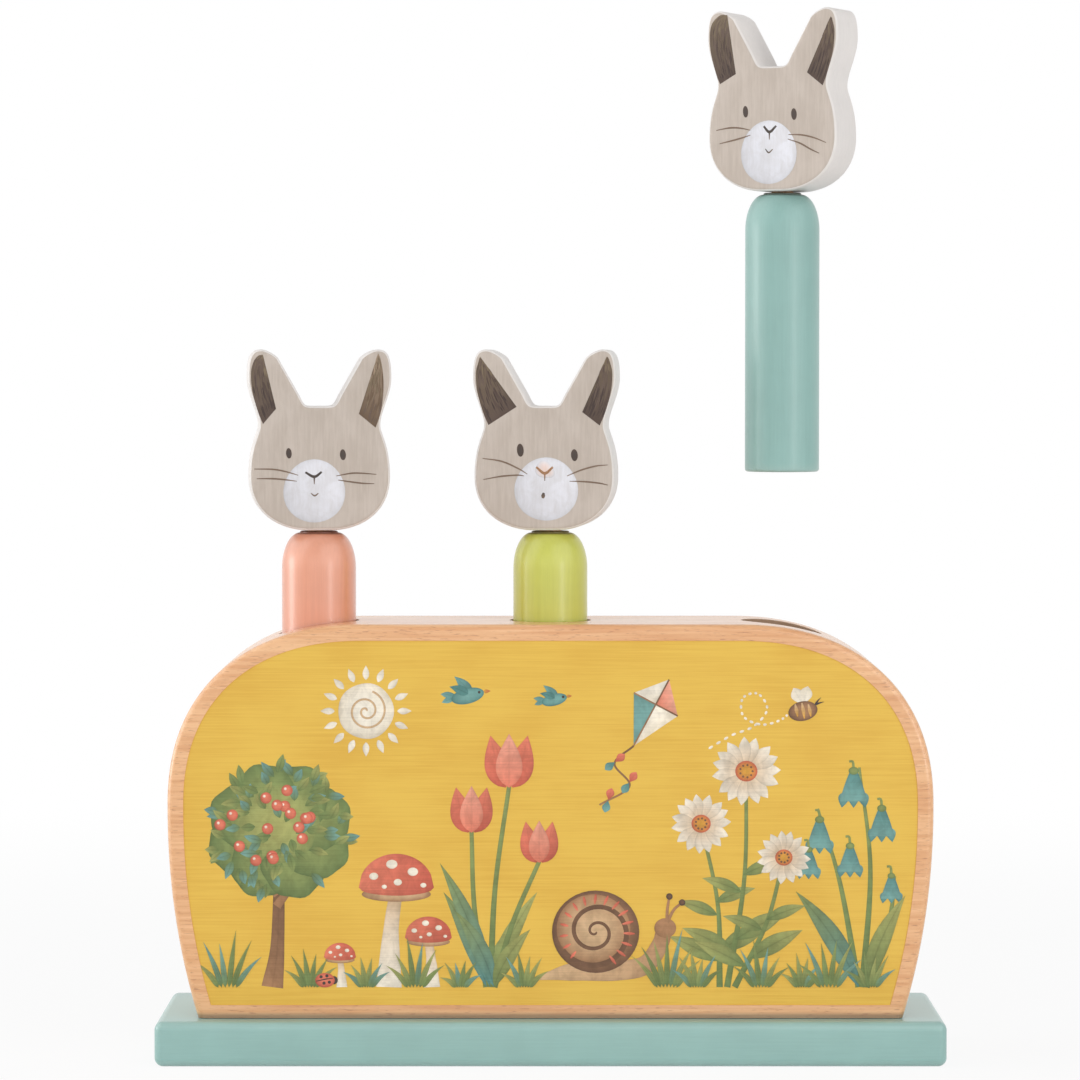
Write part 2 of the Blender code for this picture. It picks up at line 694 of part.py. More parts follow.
def main():
    clear_scene()
    parts = new_collection("pop_up_animal_toy")
    cutters = new_collection("cutters")

    wood = new_material("beech", WOOD, 0.55)
    mint = new_material("mint paint", MINT, 0.42)
    coral = new_material("coral paint", CORAL, 0.35)
    lime = new_material("lime paint", LIME, 0.35)
    cream = new_material("cream paint", CREAM, 0.50)
    yellow = new_material("yellow print", YELLOW, 0.50)
    steel = new_material("spring steel", STEEL, 0.35, metallic=1.0)
    nylon = new_material("white nylon", NYLON, 0.45)

    make_base(parts, cutters, mint)
    half = make_block(parts, cutters, wood)
    make_panel(half, parts, yellow)
    make_block_screws(parts, cutters, steel)

    shown = (
        (LEFT_LIFT, LEFT_TURN, LEFT_HEAD_SHIFT),
        (MIDDLE_LIFT, MIDDLE_TURN, MIDDLE_HEAD_SHIFT),
        (RIGHT_LIFT, RIGHT_TURN, RIGHT_HEAD_SHIFT),
    )
    for (side, x), as_shown, paint in zip(peg_places(), shown, (coral, lime, mint)):
        make_spring_seat(side, x, parts, cutters, wood)
        screw = make_screw(f"{side}_seat_screw", SEAT_SCREW_LENGTH, parts, cutters, steel)
        screw.location = (x, 0.0, SEAT_TOP - SCREW_SET_BACK)
        make_spring(f"{side}_spring", x, parts, steel)
        make_spring_cap(f"{side}_spring_cap", x, parts, nylon)
        make_peg_group(side, x, as_shown, parts, cutters, paint, cream, wood)


main()
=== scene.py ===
import math

import bmesh
import bpy
import numpy as np
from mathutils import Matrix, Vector


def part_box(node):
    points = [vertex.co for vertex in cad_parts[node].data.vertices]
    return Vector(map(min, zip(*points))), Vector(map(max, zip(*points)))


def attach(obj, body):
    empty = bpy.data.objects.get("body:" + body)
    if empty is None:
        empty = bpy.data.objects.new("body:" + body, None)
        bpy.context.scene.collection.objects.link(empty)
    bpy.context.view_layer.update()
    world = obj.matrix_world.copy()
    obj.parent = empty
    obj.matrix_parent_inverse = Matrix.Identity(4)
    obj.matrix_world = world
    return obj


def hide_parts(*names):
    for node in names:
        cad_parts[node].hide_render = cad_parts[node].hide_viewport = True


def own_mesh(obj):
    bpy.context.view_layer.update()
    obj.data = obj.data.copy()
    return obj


# Pop up animal toy: the finish of every piece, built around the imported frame. Metres, +Z up.

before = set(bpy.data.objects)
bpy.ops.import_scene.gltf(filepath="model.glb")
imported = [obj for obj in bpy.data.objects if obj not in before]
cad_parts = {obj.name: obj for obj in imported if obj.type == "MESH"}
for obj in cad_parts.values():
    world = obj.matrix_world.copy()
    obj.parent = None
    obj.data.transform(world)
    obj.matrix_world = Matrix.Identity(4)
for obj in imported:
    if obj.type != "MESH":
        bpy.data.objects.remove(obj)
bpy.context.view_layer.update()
print("frame:", len(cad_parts), "nodes")

sides = {
    "left": {"turn": math.radians(5.0), "paint": "coral"},
    "middle": {"turn": math.radians(-6.0), "paint": "lime"},
    "right": {"turn": math.radians(-28.0), "paint": "mint"},
}
mm = 0.001


# Shader maths

def operator(name, reflected=False):
    # the method that adds this Math node behind two values, swapped for a reflected one
    def method(self, other):
        return self.maths(name, *((other, self) if reflected else (self, other)))

    return method


class Field:
    # One output socket of a material's nodes. Python's operators add Math nodes behind it.

    def __init__(self, tree, socket=None):
        self.tree = tree
        self.socket = socket

    def make(self, kind, settings=None, inputs=None, output=0):
        # any node: its settings first, then the values or links of its sockets
        node = self.tree.nodes.new(kind)
        for key, value in (settings or {}).items():
            setattr(node, key, value)
        for key, value in (inputs or {}).items():
            socket = node.inputs[key]
            if isinstance(value, Field):
                self.tree.links.new(value.socket, socket)
            else:
                socket.default_value = (*value, 1.0) if socket.type == "RGBA" else value
        return Field(self.tree, node.outputs[output])

    def maths(self, operation, *values):
        return self.make("ShaderNodeMath", {"operation": operation}, dict(enumerate(values)))

    __add__ = __radd__ = operator("ADD")
    __mul__ = __rmul__ = operator("MULTIPLY")
    __sub__, __rsub__ = operator("SUBTRACT"), operator("SUBTRACT", True)
    __truediv__ = operator("DIVIDE")

    def clipped(self):
        return self.maths("MINIMUM", self.maths("MAXIMUM", self, 0.0), 1.0)

    def step(self, low, high):
        # smooth step: 0 below low, 1 above high
        settings = {"interpolation_type": "SMOOTHSTEP"}
        return self.make("ShaderNodeMapRange", settings, {0: self, 1: low, 2: high})

    def tone(self, other, share, low, high):
        # this noise by its share and the other by the rest, stretched between low and high
        return (self * share + other * (1.0 - share)).step(low, high)

    def blend(self, factor, low, high, mode="MIX"):
        # a colour between low and high
        settings = {"data_type": "RGBA", "blend_type": mode}
        return self.make("ShaderNodeMix", settings, {0: factor, 6: low, 7: high}, 2)

    def noise(self, place, size, detail=3.0, roughness=0.5, warp=0.0):
        # noise whose cells measure size along x, y and z, in mm
        scale = tuple(1.0 / (length * mm) for length in size)
        cells = self.make("ShaderNodeMapping", None, {"Vector": place, "Scale": scale})
        inputs = {"Vector": cells, "Scale": 1.0, "Detail": detail, "Roughness": roughness}
        return self.make("ShaderNodeTexNoise", None, inputs | {"Distortion": warp})

    def attribute(self, name, output=2):
        # what the mesh's points carry: output 0 is a colour, 1 a vector, 2 a number
        return self.make("ShaderNodeAttribute", {"attribute_name": name}, None, output)

    def place(self):
        # where a point lies in the object's frame
        return self.make("ShaderNodeTexCoord", output=3)

    def ownPlace(self):
        # where a point lay before its piece was turned and set down
        return self.attribute("own", 1)

    def facing(self):
        # the way the surface faces in the object's frame
        return self.make("ShaderNodeTexCoord", output=1)

    def part(self, axis):
        # one coordinate of a vector
        return self.make("ShaderNodeSeparateXYZ", None, {"Vector": self}, axis)

    def surface(self, colour, rough, depth, distance):
        # the sockets that every finish varies, with this height as relief, its distance in mm
        inputs = {"Strength": depth, "Distance": distance * mm, "Height": self}
        relief = self.make("ShaderNodeBump", None, inputs)
        return {"Base Color": colour, "Roughness": rough, "Normal": relief}


def newMaterial(name, recipe, fixed):
    # recipe takes an empty Field and gives the sockets that vary; fixed are the shader's own values
    material = bpy.data.materials.new(name)
    material.use_nodes = True
    tree = material.node_tree
    shader = tree.nodes["Principled BSDF"]
    for key, value in fixed.items():
        shader.inputs[key].default_value = value
    for key, value in recipe(Field(tree)).items():
        tree.links.new(value.socket, shader.inputs[key])
    return material


woodLook = {
    "pale": (0.885, 0.512, 0.254),
    "deep": (0.712, 0.336, 0.136),
    "fleck": (0.390, 0.155, 0.068),
    "streak": (26, 1.1, 0.9),
    "band": (70, 9, 7),
    "pore": (2.6, 0.34, 0.24),
    "wander": (160, 36, 36),
    "speck": (0.30, 0.30, 0.30),
    "speckStep": (0.35, 0.65),
    "fleckStep": (0.60, 0.72),
    "toneStep": (0.32, 0.68),
    "endStep": (0.25, 0.85),
    "lateStep": (0.35, 0.90),
    "closeStep": (0.92, 1.0),
    "cutTone": 0.62,
    "cutLate": 0.30,
    "cutSpeck": 0.16,
    "late": 0.12,
    "fleckShare": 0.55,
    "cutFleck": 0.30,
    "pith": (36 * mm, -64 * mm),
    "ringWidth": 3.2 * mm,
    "ringWander": 12 * mm,
    # painted contact shadow along the block's foot: the height it fades up from, its fade, its
    # strength and its colour
    "footHeight": 12.3 * mm,
    "footFade": (0.3 * mm, 1.7 * mm),
    "footShade": 0.66,
    "footShadowColour": (0.080, 0.070, 0.040),
}


def woodRecipe(along):
    # beech: long streaks and bands along the grain, with short dark flecks; where the grain runs
    # out, the yearly rings round a far pith, each a light band with a thin dark close; low down, a
    # painted contact shadow darkens the wood towards the board
    look = woodLook
    turned = {"x": (0, 1, 2), "z": (2, 1, 0)}[along]

    def recipe(field):
        place = field.place()

        def grain(key, *shape):
            return field.noise(place, [look[key][axis] for axis in turned], *shape)

        streak = grain("streak", 5.0, 0.6)
        band = grain("band", 2.0, 0.5, 0.4)
        fleck = grain("pore", 2.0, 0.4).step(*look["fleckStep"])
        end = field.maths("ABSOLUTE", field.facing().part(turned[0])).step(*look["endStep"])
        across = place.part(turned[1]) - look["pith"][0]
        up = place.part(turned[2]) - look["pith"][1]
        reach = field.maths("SQRT", across * across + up * up)
        reach = reach + grain("wander", 1.0) * look["ringWander"]
        ring = field.maths("FRACT", reach / look["ringWidth"])
        late = ring.step(*look["lateStep"]) * (1.0 - ring.step(*look["closeStep"]))
        speck = grain("speck", 1.0).step(*look["speckStep"])
        flat = streak.tone(band, 0.65, *look["toneStep"])
        cut = look["cutTone"] - late * look["cutLate"] + speck * look["cutSpeck"]
        tone = (flat + (cut - flat) * end - late * look["late"]).clipped()
        wood = field.blend(tone, look["deep"], look["pale"])
        fleckShare = fleck * (look["fleckShare"] - end * look["cutFleck"])
        wood = field.blend(fleckShare, wood, look["fleck"])
        # painted contact shadow: the wood darkens over its lowest mm or two, where it meets the
        # board
        above = (place.part(2) - look["footHeight"]).step(*look["footFade"])
        wood = field.blend((1.0 - above) * look["footShade"], wood, look["footShadowColour"])
        relief = streak * 0.6 - fleck * 0.9 - late * 0.15
        return relief.surface(wood, 0.50 - tone * 0.08 + fleck * 0.15, 0.25, 0.10)

    return recipe


paintLook = {
    "mint": (0.296, 0.504, 0.468),
    "mintPeg": (0.272, 0.468, 0.428),
    "coral": (0.800, 0.345, 0.215),
    "lime": (0.595, 0.610, 0.098),
    "cream": (0.825, 0.780, 0.745),
    "undercoat": (0.860, 0.820, 0.760),
    # the colour of the painted shadow under a head
    "neckShade": (0.30, 0.22, 0.17),
    "deeper": 0.90,
    "wear": 0.30,
    "mottle": (14, 14, 14),
    "grain": (0.5, 0.5, 16),
    "peel": (1.1, 1.1, 1.1),
}


def paintRecipe(colour, along="z", shine=0.36, gloss=0.0, turned=True):
    # paint on wood: faint mottling, the grain just showing through, thinner on the edges; where
    # the mesh carries shade, a painted shadow darkens the colour and takes the coat away
    look = paintLook
    grainSize = look["grain"] if along == "z" else look["grain"][::-1]

    def recipe(field):
        place = field.ownPlace() if turned else field.place()
        mottle = field.noise(place, look["mottle"])
        grain = field.noise(place, grainSize, 3.0, 0.6)
        peel = field.noise(place, look["peel"], 1.0)
        wear = (field.attribute("edge") * (0.35 + grain * 0.5)).clipped()
        shade = field.attribute("shade")
        deeper = [channel * look["deeper"] for channel in look[colour]]
        coat = field.blend(mottle.tone(grain, 0.6, 0.30, 0.70), deeper, look[colour])
        coat = field.blend(wear * look["wear"], coat, look["undercoat"])
        # painted shadow: darker towards neckShade where shade is set, and the coat, with its
        # reflection, goes with it
        neck = field.blend(shade, (1.0, 1.0, 1.0), look["neckShade"])
        coat = field.blend(1.0, coat, neck, "MULTIPLY")
        rough = shine + mottle * 0.08 + grain * 0.05
        paint = (grain * 0.5 + peel * 0.5).surface(coat, rough, 0.16, 0.08)
        return paint | {"Coat Weight": (1.0 - shade) * gloss}

    return recipe


printLook = {
    "yellow": (0.825, 0.530, 0.086),
    "ochre": (0.750, 0.443, 0.064),
    "line": (24, 1.0, 0.42),
    "cloudy": (26, 20, 18),
    "pool": (3.2, 3.2, 4.4),
    "fur": (0.500, 0.425, 0.362),
    "furPale": (0.590, 0.512, 0.446),
    "furLine": (0.55, 2.0, 7.0),
    "furCloud": (9, 9, 12),
}


def panelRecipe(field):
    # yellow ink on a thin wooden sheet, whose level grain shows through
    place = field.place()
    line = field.noise(place, printLook["line"], 4.0, 0.65)
    tone = line.tone(field.noise(place, printLook["cloudy"]), 0.55, 0.34, 0.62)
    ink = field.blend(tone, printLook["ochre"], printLook["yellow"])
    return line.surface(ink, 0.50 + line * 0.12, 0.20, 0.06)


def inkRecipe(lines, low, high):
    # watercolour print: each patch carries its own colours, broken up by pooling and by the grain
    def recipe(field):
        place = field.ownPlace()
        streak = field.noise(place, printLook[lines], 4.0, 0.65)
        pooled = field.noise(place, printLook["pool"], 4.0, 0.6, 0.6)
        tone = pooled.tone(streak, 0.65, 0.32, 0.68)
        shade = field.blend(tone, (low, low * 0.98, low * 0.95), (high, high, high))
        ink = field.blend(1.0, field.attribute("ink", 0), shade, "MULTIPLY")
        return streak.surface(ink, 0.52 + streak * 0.10, 0.20, 0.06)

    return recipe


def headRecipe(field):
    # cream paint all over, with the fur colour printed on the flat of the face alone
    place = field.ownPlace()
    paint = paintRecipe("cream")(field)
    face = field.attribute("face")
    stroke = field.noise(place, printLook["furLine"], 5.0, 0.65)
    cloudy = field.noise(place, printLook["furCloud"], 3.0, 0.5, 0.5)
    tone = stroke.tone(cloudy, 0.5, 0.34, 0.66)
    fur = field.blend(tone, printLook["fur"], printLook["furPale"])
    paint["Base Color"] = field.blend(face.step(0.35, 0.65), paint["Base Color"], fur)
    paint["Roughness"] = paint["Roughness"] + face * 0.10
    return paint


# wood in the bores, darkened by the drill and further by painted shade for the holes' insides,
# nylon, spring steel and zinc plate: the noise's shape, the colours and the roughness it runs
# between, the bump's strength and distance
plainLooks = {
    "bore": {
        "noise": ((3, 3, 0.5), 4.0),
        "colours": ((0.300, 0.185, 0.115), (0.430, 0.280, 0.180)),
        "rough": (0.60, 0.15),
        "bump": (0.30, 0.10),
    },
    "nylon": {
        "noise": ((1.2, 1.2, 3), 3.0),
        "colours": ((0.70, 0.70, 0.66), (0.82, 0.82, 0.79)),
        "rough": (0.40, 0.12),
        "bump": (0.15, 0.05),
    },
    "steel": {
        "noise": ((0.9, 0.9, 0.12), 3.0),
        "colours": ((0.42, 0.43, 0.45), (0.62, 0.63, 0.65)),
        "rough": (0.24, 0.22),
        "bump": (0.15, 0.03),
    },
    "zinc": {
        "noise": ((0.8, 0.8, 0.8), 4.0, 0.6),
        "colours": ((0.44, 0.45, 0.44), (0.68, 0.68, 0.64)),
        "rough": (0.26, 0.26),
        "bump": (0.20, 0.04),
    },
}


def plainRecipe(kind):
    # one noise moves the colour, the roughness and the relief together
    look = plainLooks[kind]

    def recipe(field):
        noise = field.noise(field.place(), *look["noise"])
        least, more = look["rough"]
        colour = field.blend(noise, *look["colours"])
        return noise.surface(colour, least + noise * more, *look["bump"])

    return recipe


def dull(level):
    return {"Specular IOR Level": level}


recipes = {
    "beech": ("beech", woodRecipe("x"), {"Coat Weight": 1.0, "Coat Roughness": 0.26}),
    # the bores' walls: drill-darkened wood, made darker still as painted shade inside the holes
    "bore": ("boreWoodAndShade", plainRecipe("bore"), dull(0.3)),
    "beechUpright": ("beechUpright", woodRecipe("z"), dull(0.4)),
    "mint": ("mintPaint", paintRecipe("mintPeg", "z", 0.32, 0.30), {"Coat Roughness": 0.28}),
    "mintBoard": (
        "mintBoardPaint",
        paintRecipe("mint", "x", 0.40, 0.62, False),
        {"Coat Roughness": 0.22},
    ),
    "coral": ("coralPaint", paintRecipe("coral", "z", 0.26, 0.80), {"Coat Roughness": 0.27}),
    "lime": ("limePaint", paintRecipe("lime", "z", 0.26, 0.48), {"Coat Roughness": 0.27}),
    "head": ("headPaint", headRecipe, dull(0.45)),
    "panel": ("yellowPrint", panelRecipe, dull(0.40)),
    "ink": ("printInk", inkRecipe("line", 0.78, 1.12), dull(0.40)),
    "faceInk": ("faceInk", inkRecipe("furLine", 0.90, 1.05), dull(0.40)),
    "nylon": ("whiteNylon", plainRecipe("nylon"), dull(0.50)),
    "steel": ("springSteel", plainRecipe("steel"), {"Metallic": 1.0}),
    "zinc": ("zincPlate", plainRecipe("zinc"), {"Metallic": 1.0}),
}
finishes = {key: newMaterial(*row) for key, row in recipes.items()}
print("finishes:", len(finishes))


# Meshes

sharpAngle = math.radians(40.0)
mergeDistance = 0.0002 * mm


def joined(*coordinates):
    return np.stack(coordinates, axis=-1)


def fullTurn(steps):
    # angles evenly round a circle
    return np.linspace(0.0, 2.0 * math.pi, steps, endpoint=False)


def gridFaces(rows, columns, start=0):
    # quads of a grid of rows x columns points, whose columns are joined round
    row, column = np.meshgrid(np.arange(rows - 1), np.arange(columns), indexing="ij")
    here, beside = row * columns + column, row * columns + (column + 1) % columns
    quads = joined(here, beside, beside + columns, here + columns)
    return (quads.reshape(-1, 4) + start).tolist()


def tubeFaces(rows, columns, start=0):
    # the grid's quads, and a face that closes each end
    last = start + columns * (rows - 1)
    ends = [list(range(first, first + columns)) for first in (start, last)]
    return gridFaces(rows, columns, start) + ends


def setAttribute(mesh, name, kind, values):
    # values has one row for each vertex
    layer = mesh.attributes.new(name, kind, "POINT")
    key = {"FLOAT": "value", "FLOAT_VECTOR": "vector", "FLOAT_COLOR": "color"}[kind]
    layer.data.foreach_set(key, np.asarray(values, np.float32).ravel())


def finishMesh(mesh, turn, place):
    # merge doubles, point the faces outwards, keep each point's own coordinates, then turn the
    # points about Z and move them
    shape = bmesh.new()
    shape.from_mesh(mesh)
    bmesh.ops.remove_doubles(shape, verts=shape.verts, dist=mergeDistance)
    bmesh.ops.recalc_face_normals(shape, faces=shape.faces)
    shape.to_mesh(mesh)
    shape.free()
    points = np.zeros(len(mesh.vertices) * 3, np.float32)
    mesh.vertices.foreach_get("co", points)
    points = points.reshape(-1, 3).astype(float)
    setAttribute(mesh, "own", "FLOAT_VECTOR", points)
    cos, sin = math.cos(turn), math.sin(turn)
    points = points @ np.array([[cos, sin, 0.0], [-sin, cos, 0.0], [0.0, 0.0, 1.0]]) + place
    mesh.vertices.foreach_set("co", points.astype(np.float32).ravel())
    smoothed(mesh)
    mesh.update()


def smoothed(mesh):
    mesh.shade_smooth()
    mesh.set_sharp_from_angle(angle=sharpAngle)


def newPiece(name, points, faces, finish, attributes=None, turn=0.0, place=(0, 0, 0)):
    mesh = bpy.data.meshes.new(name)
    mesh.from_pydata(points.reshape(-1, 3).tolist(), [], faces)
    for key, values in (attributes or {}).items():
        setAttribute(mesh, key, "FLOAT_COLOR" if np.ndim(values) == 2 else "FLOAT", values)
    finishMesh(mesh, turn, place)
    mesh.materials.append(finishes[finish])
    piece = bpy.data.objects.new(name, mesh)
    bpy.context.scene.collection.objects.link(piece)
    return piece


def cutAway(piece, cutters):
    # take the cutters out of a finished piece and keep only its mesh
    for cutter in cutters:
        boolean = piece.modifiers.new("cut", "BOOLEAN")
        boolean.solver = "EXACT"
        boolean.material_mode = "TRANSFER"
        boolean.object = cutter
    bpy.context.view_layer.update()
    whole = piece.evaluated_get(bpy.context.evaluated_depsgraph_get())
    mesh = bpy.data.meshes.new_from_object(whole)
    piece.modifiers.clear()
    piece.data = mesh
    smoothed(mesh)
    for cutter in cutters:
        bpy.data.objects.remove(cutter)


def spun(name, radii, heights, finish, segments=96, **where):
    # radii carried round the axis, x = r cos a, y = r sin a, with a height for each or for each a
    angle = fullTurn(segments)
    x, y = np.outer(radii, np.cos(angle)), np.outer(radii, np.sin(angle))
    points = joined(x, y, np.broadcast_to(heights, x.shape))
    return newPiece(name, points, gridFaces(len(x), segments), finish, **where)


def latheMesh(name, profile, finish, segments=96, **where):
    # (r, z) of the profile carried round the axis
    radii, heights = np.asarray(profile, float).T
    return spun(name, radii, heights[:, None], finish, segments, **where)


def arc(centre, radius, start, stop, steps):
    # points on an ellipse about centre, angles in degrees
    angle = np.radians(np.linspace(start, stop, steps))
    return [*joined(centre[0] + radius[0] * np.cos(angle), centre[1] + radius[1] * np.sin(angle))]


def outlineNormals(outline):
    # outward normals of a closed outline that runs anticlockwise
    run = np.roll(outline, -1, axis=0) - np.roll(outline, 1, axis=0)
    normal = joined(run[:, 1], -run[:, 0])
    return normal / np.linalg.norm(normal, axis=1, keepdims=True)


def rimProfile(half, radius, steps=8, support=0.3 * mm):
    # (inset, depth) pairs from the front flat over the rounded rim and down the wall to the back
    angle = np.linspace(0.0, math.pi / 2, steps + 1)
    inset = radius * (1.0 - np.sin(angle))
    depth = -half + radius * (1.0 - np.cos(angle))
    ends = (radius + support, -half), (0.0, -half + radius + support)
    front = [ends[0], *zip(inset, depth), ends[1]]
    return front + [(inset, -depth) for inset, depth in reversed(front)]


def plateMesh(name, outline, profile, finish, upright=True, **where):
    # a closed outline carried through (inset, depth) pairs: point = outline - inset x normal
    inset, depth = np.array(profile).T
    flat = outline - inset[:, None, None] * outlineNormals(outline)
    depth = np.broadcast_to(depth[:, None], flat.shape[:2])
    across, along = flat[..., 0], flat[..., 1]
    points = joined(across, depth, along) if upright else joined(across, along, -depth)
    return newPiece(name, points, tubeFaces(len(profile), len(outline)), finish, **where)


def bezier(knots, steps):
    # closed run of cubic curves through (knot, handle before, handle after)
    share = np.linspace(0.0, 1.0, steps, endpoint=False)[:, None]
    runs = []
    for index, (start, _, after) in enumerate(knots):
        stop, before, _ = knots[(index + 1) % len(knots)]
        start, after, before, stop = map(np.asarray, (start, after, before, stop))
        curve = (1 - share) ** 3 * start + 3 * (1 - share) ** 2 * share * after
        curve = curve + 3 * (1 - share) * share ** 2 * before + share ** 3 * stop
        runs.append(curve)
    return np.concatenate(runs)


def centreOf(node):
    low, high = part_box(node)
    return ((low.x + high.x) / 2, (low.y + high.y) / 2)


def standing(side, node):
    # the turn and the place that set a peg or a head down where its node stands
    return {"turn": sides[side]["turn"], "place": (*centreOf(node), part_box(node)[0].z)}


# Base board

boardShape = {
    "edge": 2.3 * mm,
    "cornerSteps": 9,
    "edgeWear": 0.25,
    "wearReach": (0.1 * mm, 1.725 * mm),
    "sinkRadius": 4.1 * mm,
    "sinkRim": 0.9 * mm,
    "sinkDepth": 2.9 * mm,
    "bore": 2.2 * mm,
    "cutFrom": -5 * mm,
    "cutTo": 20 * mm,
}


def roundedRectangle(length, width, radius, steps):
    centres = ((1, 1, 0), (-1, 1, 90), (-1, -1, 180), (1, -1, 270))
    points = []
    for across, along, start in centres:
        centre = (across * (length / 2 - radius), along * (width / 2 - radius))
        points += arc(centre, (radius, radius), start, start + 90, steps)
    return np.array(points)


def makeBoard():
    # a rounded rectangle with rounded rims, less a countersunk hole for each screw
    low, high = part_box("base_board")
    shape = boardShape
    outline = roundedRectangle(high.x - low.x, high.y - low.y, shape["edge"], shape["cornerSteps"])
    profile = rimProfile((high.z - low.z) / 2, shape["edge"], support=0.0)
    least, most = shape["wearReach"]
    worn = [least < inset < most for inset, _ in profile]
    edge = np.repeat(np.where(worn, shape["edgeWear"], 0.0), len(outline))
    place = (0.0, 0.0, (low.z + high.z) / 2)
    rest = {"upright": False, "attributes": {"edge": edge}, "place": place}
    board = plateMesh("baseBoard", outline, profile, "mintBoard", **rest)
    sink, bore, bottom, top = (shape[key] for key in ("sinkRadius", "bore", "cutFrom", "cutTo"))
    hole = [(0, top), (bore, top), (bore, shape["sinkDepth"])]
    hole += [(sink, shape["sinkRim"]), (sink, bottom), (0, bottom)]
    spots = [centreOf(f"base_screw_{number}")[0] for number in (1, 2, 3, 4)]
    cutAway(board, [latheMesh("sinkCutter", hole, "mintBoard", 48, place=(x, 0, 0)) for x in spots])
    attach(board, "housing")
    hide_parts("base_board")


makeBoard()
print("base board")


# Body block

blockShape = {
    "width": 203.8 * mm,
    "footWidth": 187.8 * mm,
    "depth": 46.0 * mm,
    "widestHeight": 56.0 * mm,
    "shoulder": 52.5 * mm,
    "sidePower": 2.1,
    "sideSteps": 41,
    "shoulderPower": 2.28,
    "shoulderSteps": 90,
    "risingPoints": 60,
    "edge": 1.8 * mm,
    "holeRadius": 10.6 * mm,
    "holeEdge": 0.4 * mm,
    "border": 4.3 * mm,
    "footBorder": 3.3 * mm,
    "recess": 1.5 * mm,
    "panelGap": -0.02 * mm,
    "panelEdge": 0.04 * mm,
    "panelSupport": 0.5 * mm,
    "drop": 4.0 * mm,
    "footGap": 0.12 * mm,
    "overrun": 5.0 * mm,
    "footCutter": (300 * mm, 100 * mm, 50 * mm),
}


def blockLevels():
    # the widest place's height, the rise from there to the top, and half the flat top's length
    low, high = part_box("body_block")
    rise = high.z - low.z - blockShape["widestHeight"]
    flat = blockShape["width"] / 2 - blockShape["shoulder"]
    return low.z + blockShape["widestHeight"], rise, flat


def blockOutline(drop=0.0):
    # side: x draws in as a power of the way down; shoulder: a superellipse up to the flat top
    shape = blockShape
    widest, rise, flat = blockLevels()
    half = shape["width"] / 2
    share = np.linspace(1.0 + drop / shape["widestHeight"], 0.0, shape["sideSteps"])[:-1]
    sideX = half - (half - shape["footWidth"] / 2) * share ** shape["sidePower"]
    sideZ = widest - shape["widestHeight"] * share
    angle = np.linspace(0.0, math.pi / 2, shape["shoulderSteps"])
    power = 2.0 / shape["shoulderPower"]
    topX = flat + shape["shoulder"] * np.clip(np.cos(angle), 0.0, 1.0) ** power
    topZ = widest + rise * np.sin(angle) ** power
    right = np.array([[*sideX, *topX], [*sideZ, *topZ]]).T
    return np.concatenate([right, right[::-1] * (-1.0, 1.0)])


def blockHeight(x):
    # height of the block's top at x
    widest, rise, flat = blockLevels()
    power = blockShape["shoulderPower"]
    across = np.clip((np.abs(x) - flat) / blockShape["shoulder"], 0.0, 1.0)
    return widest + rise * (1.0 - across ** power) ** (1.0 / power)


def holeCutter(x, segments=96):
    # radius R below the rim; over it a quarter round that follows the block's curved top
    low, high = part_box("body_block")
    radius, edge = blockShape["holeRadius"], blockShape["holeEdge"]
    angle = fullTurn(segments)
    rim = blockHeight(x + (radius + edge / 2) * np.cos(angle))
    turn = np.linspace(0.0, math.pi / 2, 7)
    radii = [0.0, radius, *(radius + edge * (1.0 - np.cos(turn))), radius + edge, 0.0]
    below = np.full((2, segments), low.z - blockShape["overrun"])
    above = np.full((2, segments), high.z + blockShape["overrun"])
    heights = np.vstack([below, rim - edge * (1.0 - np.sin(turn))[:, None], above])
    return spun("holeCutter", radii, heights, "bore", segments, place=(x, 0, 0))


def insetOutline(outline, inset, foot):
    # the outline drawn in square to itself and cut off level at its foot, where its right side's
    # first points rise
    moved = (outline - inset * outlineNormals(outline))[1:-1]
    rising = moved[: blockShape["risingPoints"]]
    start = np.array([[np.interp(foot, rising[:, 1], rising[:, 0]), foot]])
    return np.concatenate([start, moved[moved[:, 1] > foot], start * (-1.0, 1.0)])


def makeBlock():
    # the outline's plate with rounded rims, less its foot, the three holes and the panel's recess
    shape = blockShape
    outline = blockOutline(shape["drop"])
    block = plateMesh("bodyBlock", outline, rimProfile(shape["depth"] / 2, shape["edge"]), "beech")
    length, width, deep = shape["footCutter"]
    under = roundedRectangle(length, width, shape["overrun"], 3)
    rest = {"upright": False, "place": (0, 0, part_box("base_board")[1].z + shape["footGap"])}
    cutters = [plateMesh("footCutter", under, [(0.0, 0.0), (0.0, deep)], "beech", **rest)]
    cutters += [holeCutter(centreOf(f"{side}_peg")[0]) for side in sides]
    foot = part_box("body_block")[0].z + shape["footBorder"]
    recess = insetOutline(outline, shape["border"], foot)
    front = -shape["depth"] / 2
    depths = [(0.0, front - shape["overrun"]), (0.0, front + shape["recess"])]
    cutters.append(plateMesh("recessCutter", recess, depths, "beech"))
    cutAway(block, cutters)
    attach(block, "housing")
    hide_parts("body_block")


def makePanel():
    # the recess's outline drawn in by a hair, carried through the panel's thickness
    low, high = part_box("front_panel")
    gap, edge = blockShape["panelGap"], blockShape["panelEdge"]
    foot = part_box("body_block")[0].z + blockShape["footBorder"] + gap
    outline = insetOutline(blockOutline(), blockShape["border"] + gap, foot)
    half = (high.y - low.y) / 2
    support = blockShape["panelSupport"]
    profile = [(support, -half), (edge, -half), (0.0, edge - half), (0.0, half)]
    place = (0, (low.y + high.y) / 2, 0)
    panel = plateMesh("frontPanel", outline, profile, "panel", place=place)
    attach(panel, "housing")
    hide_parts("front_panel")


makeBlock()
makePanel()
print("body block and panel")


# Pegs

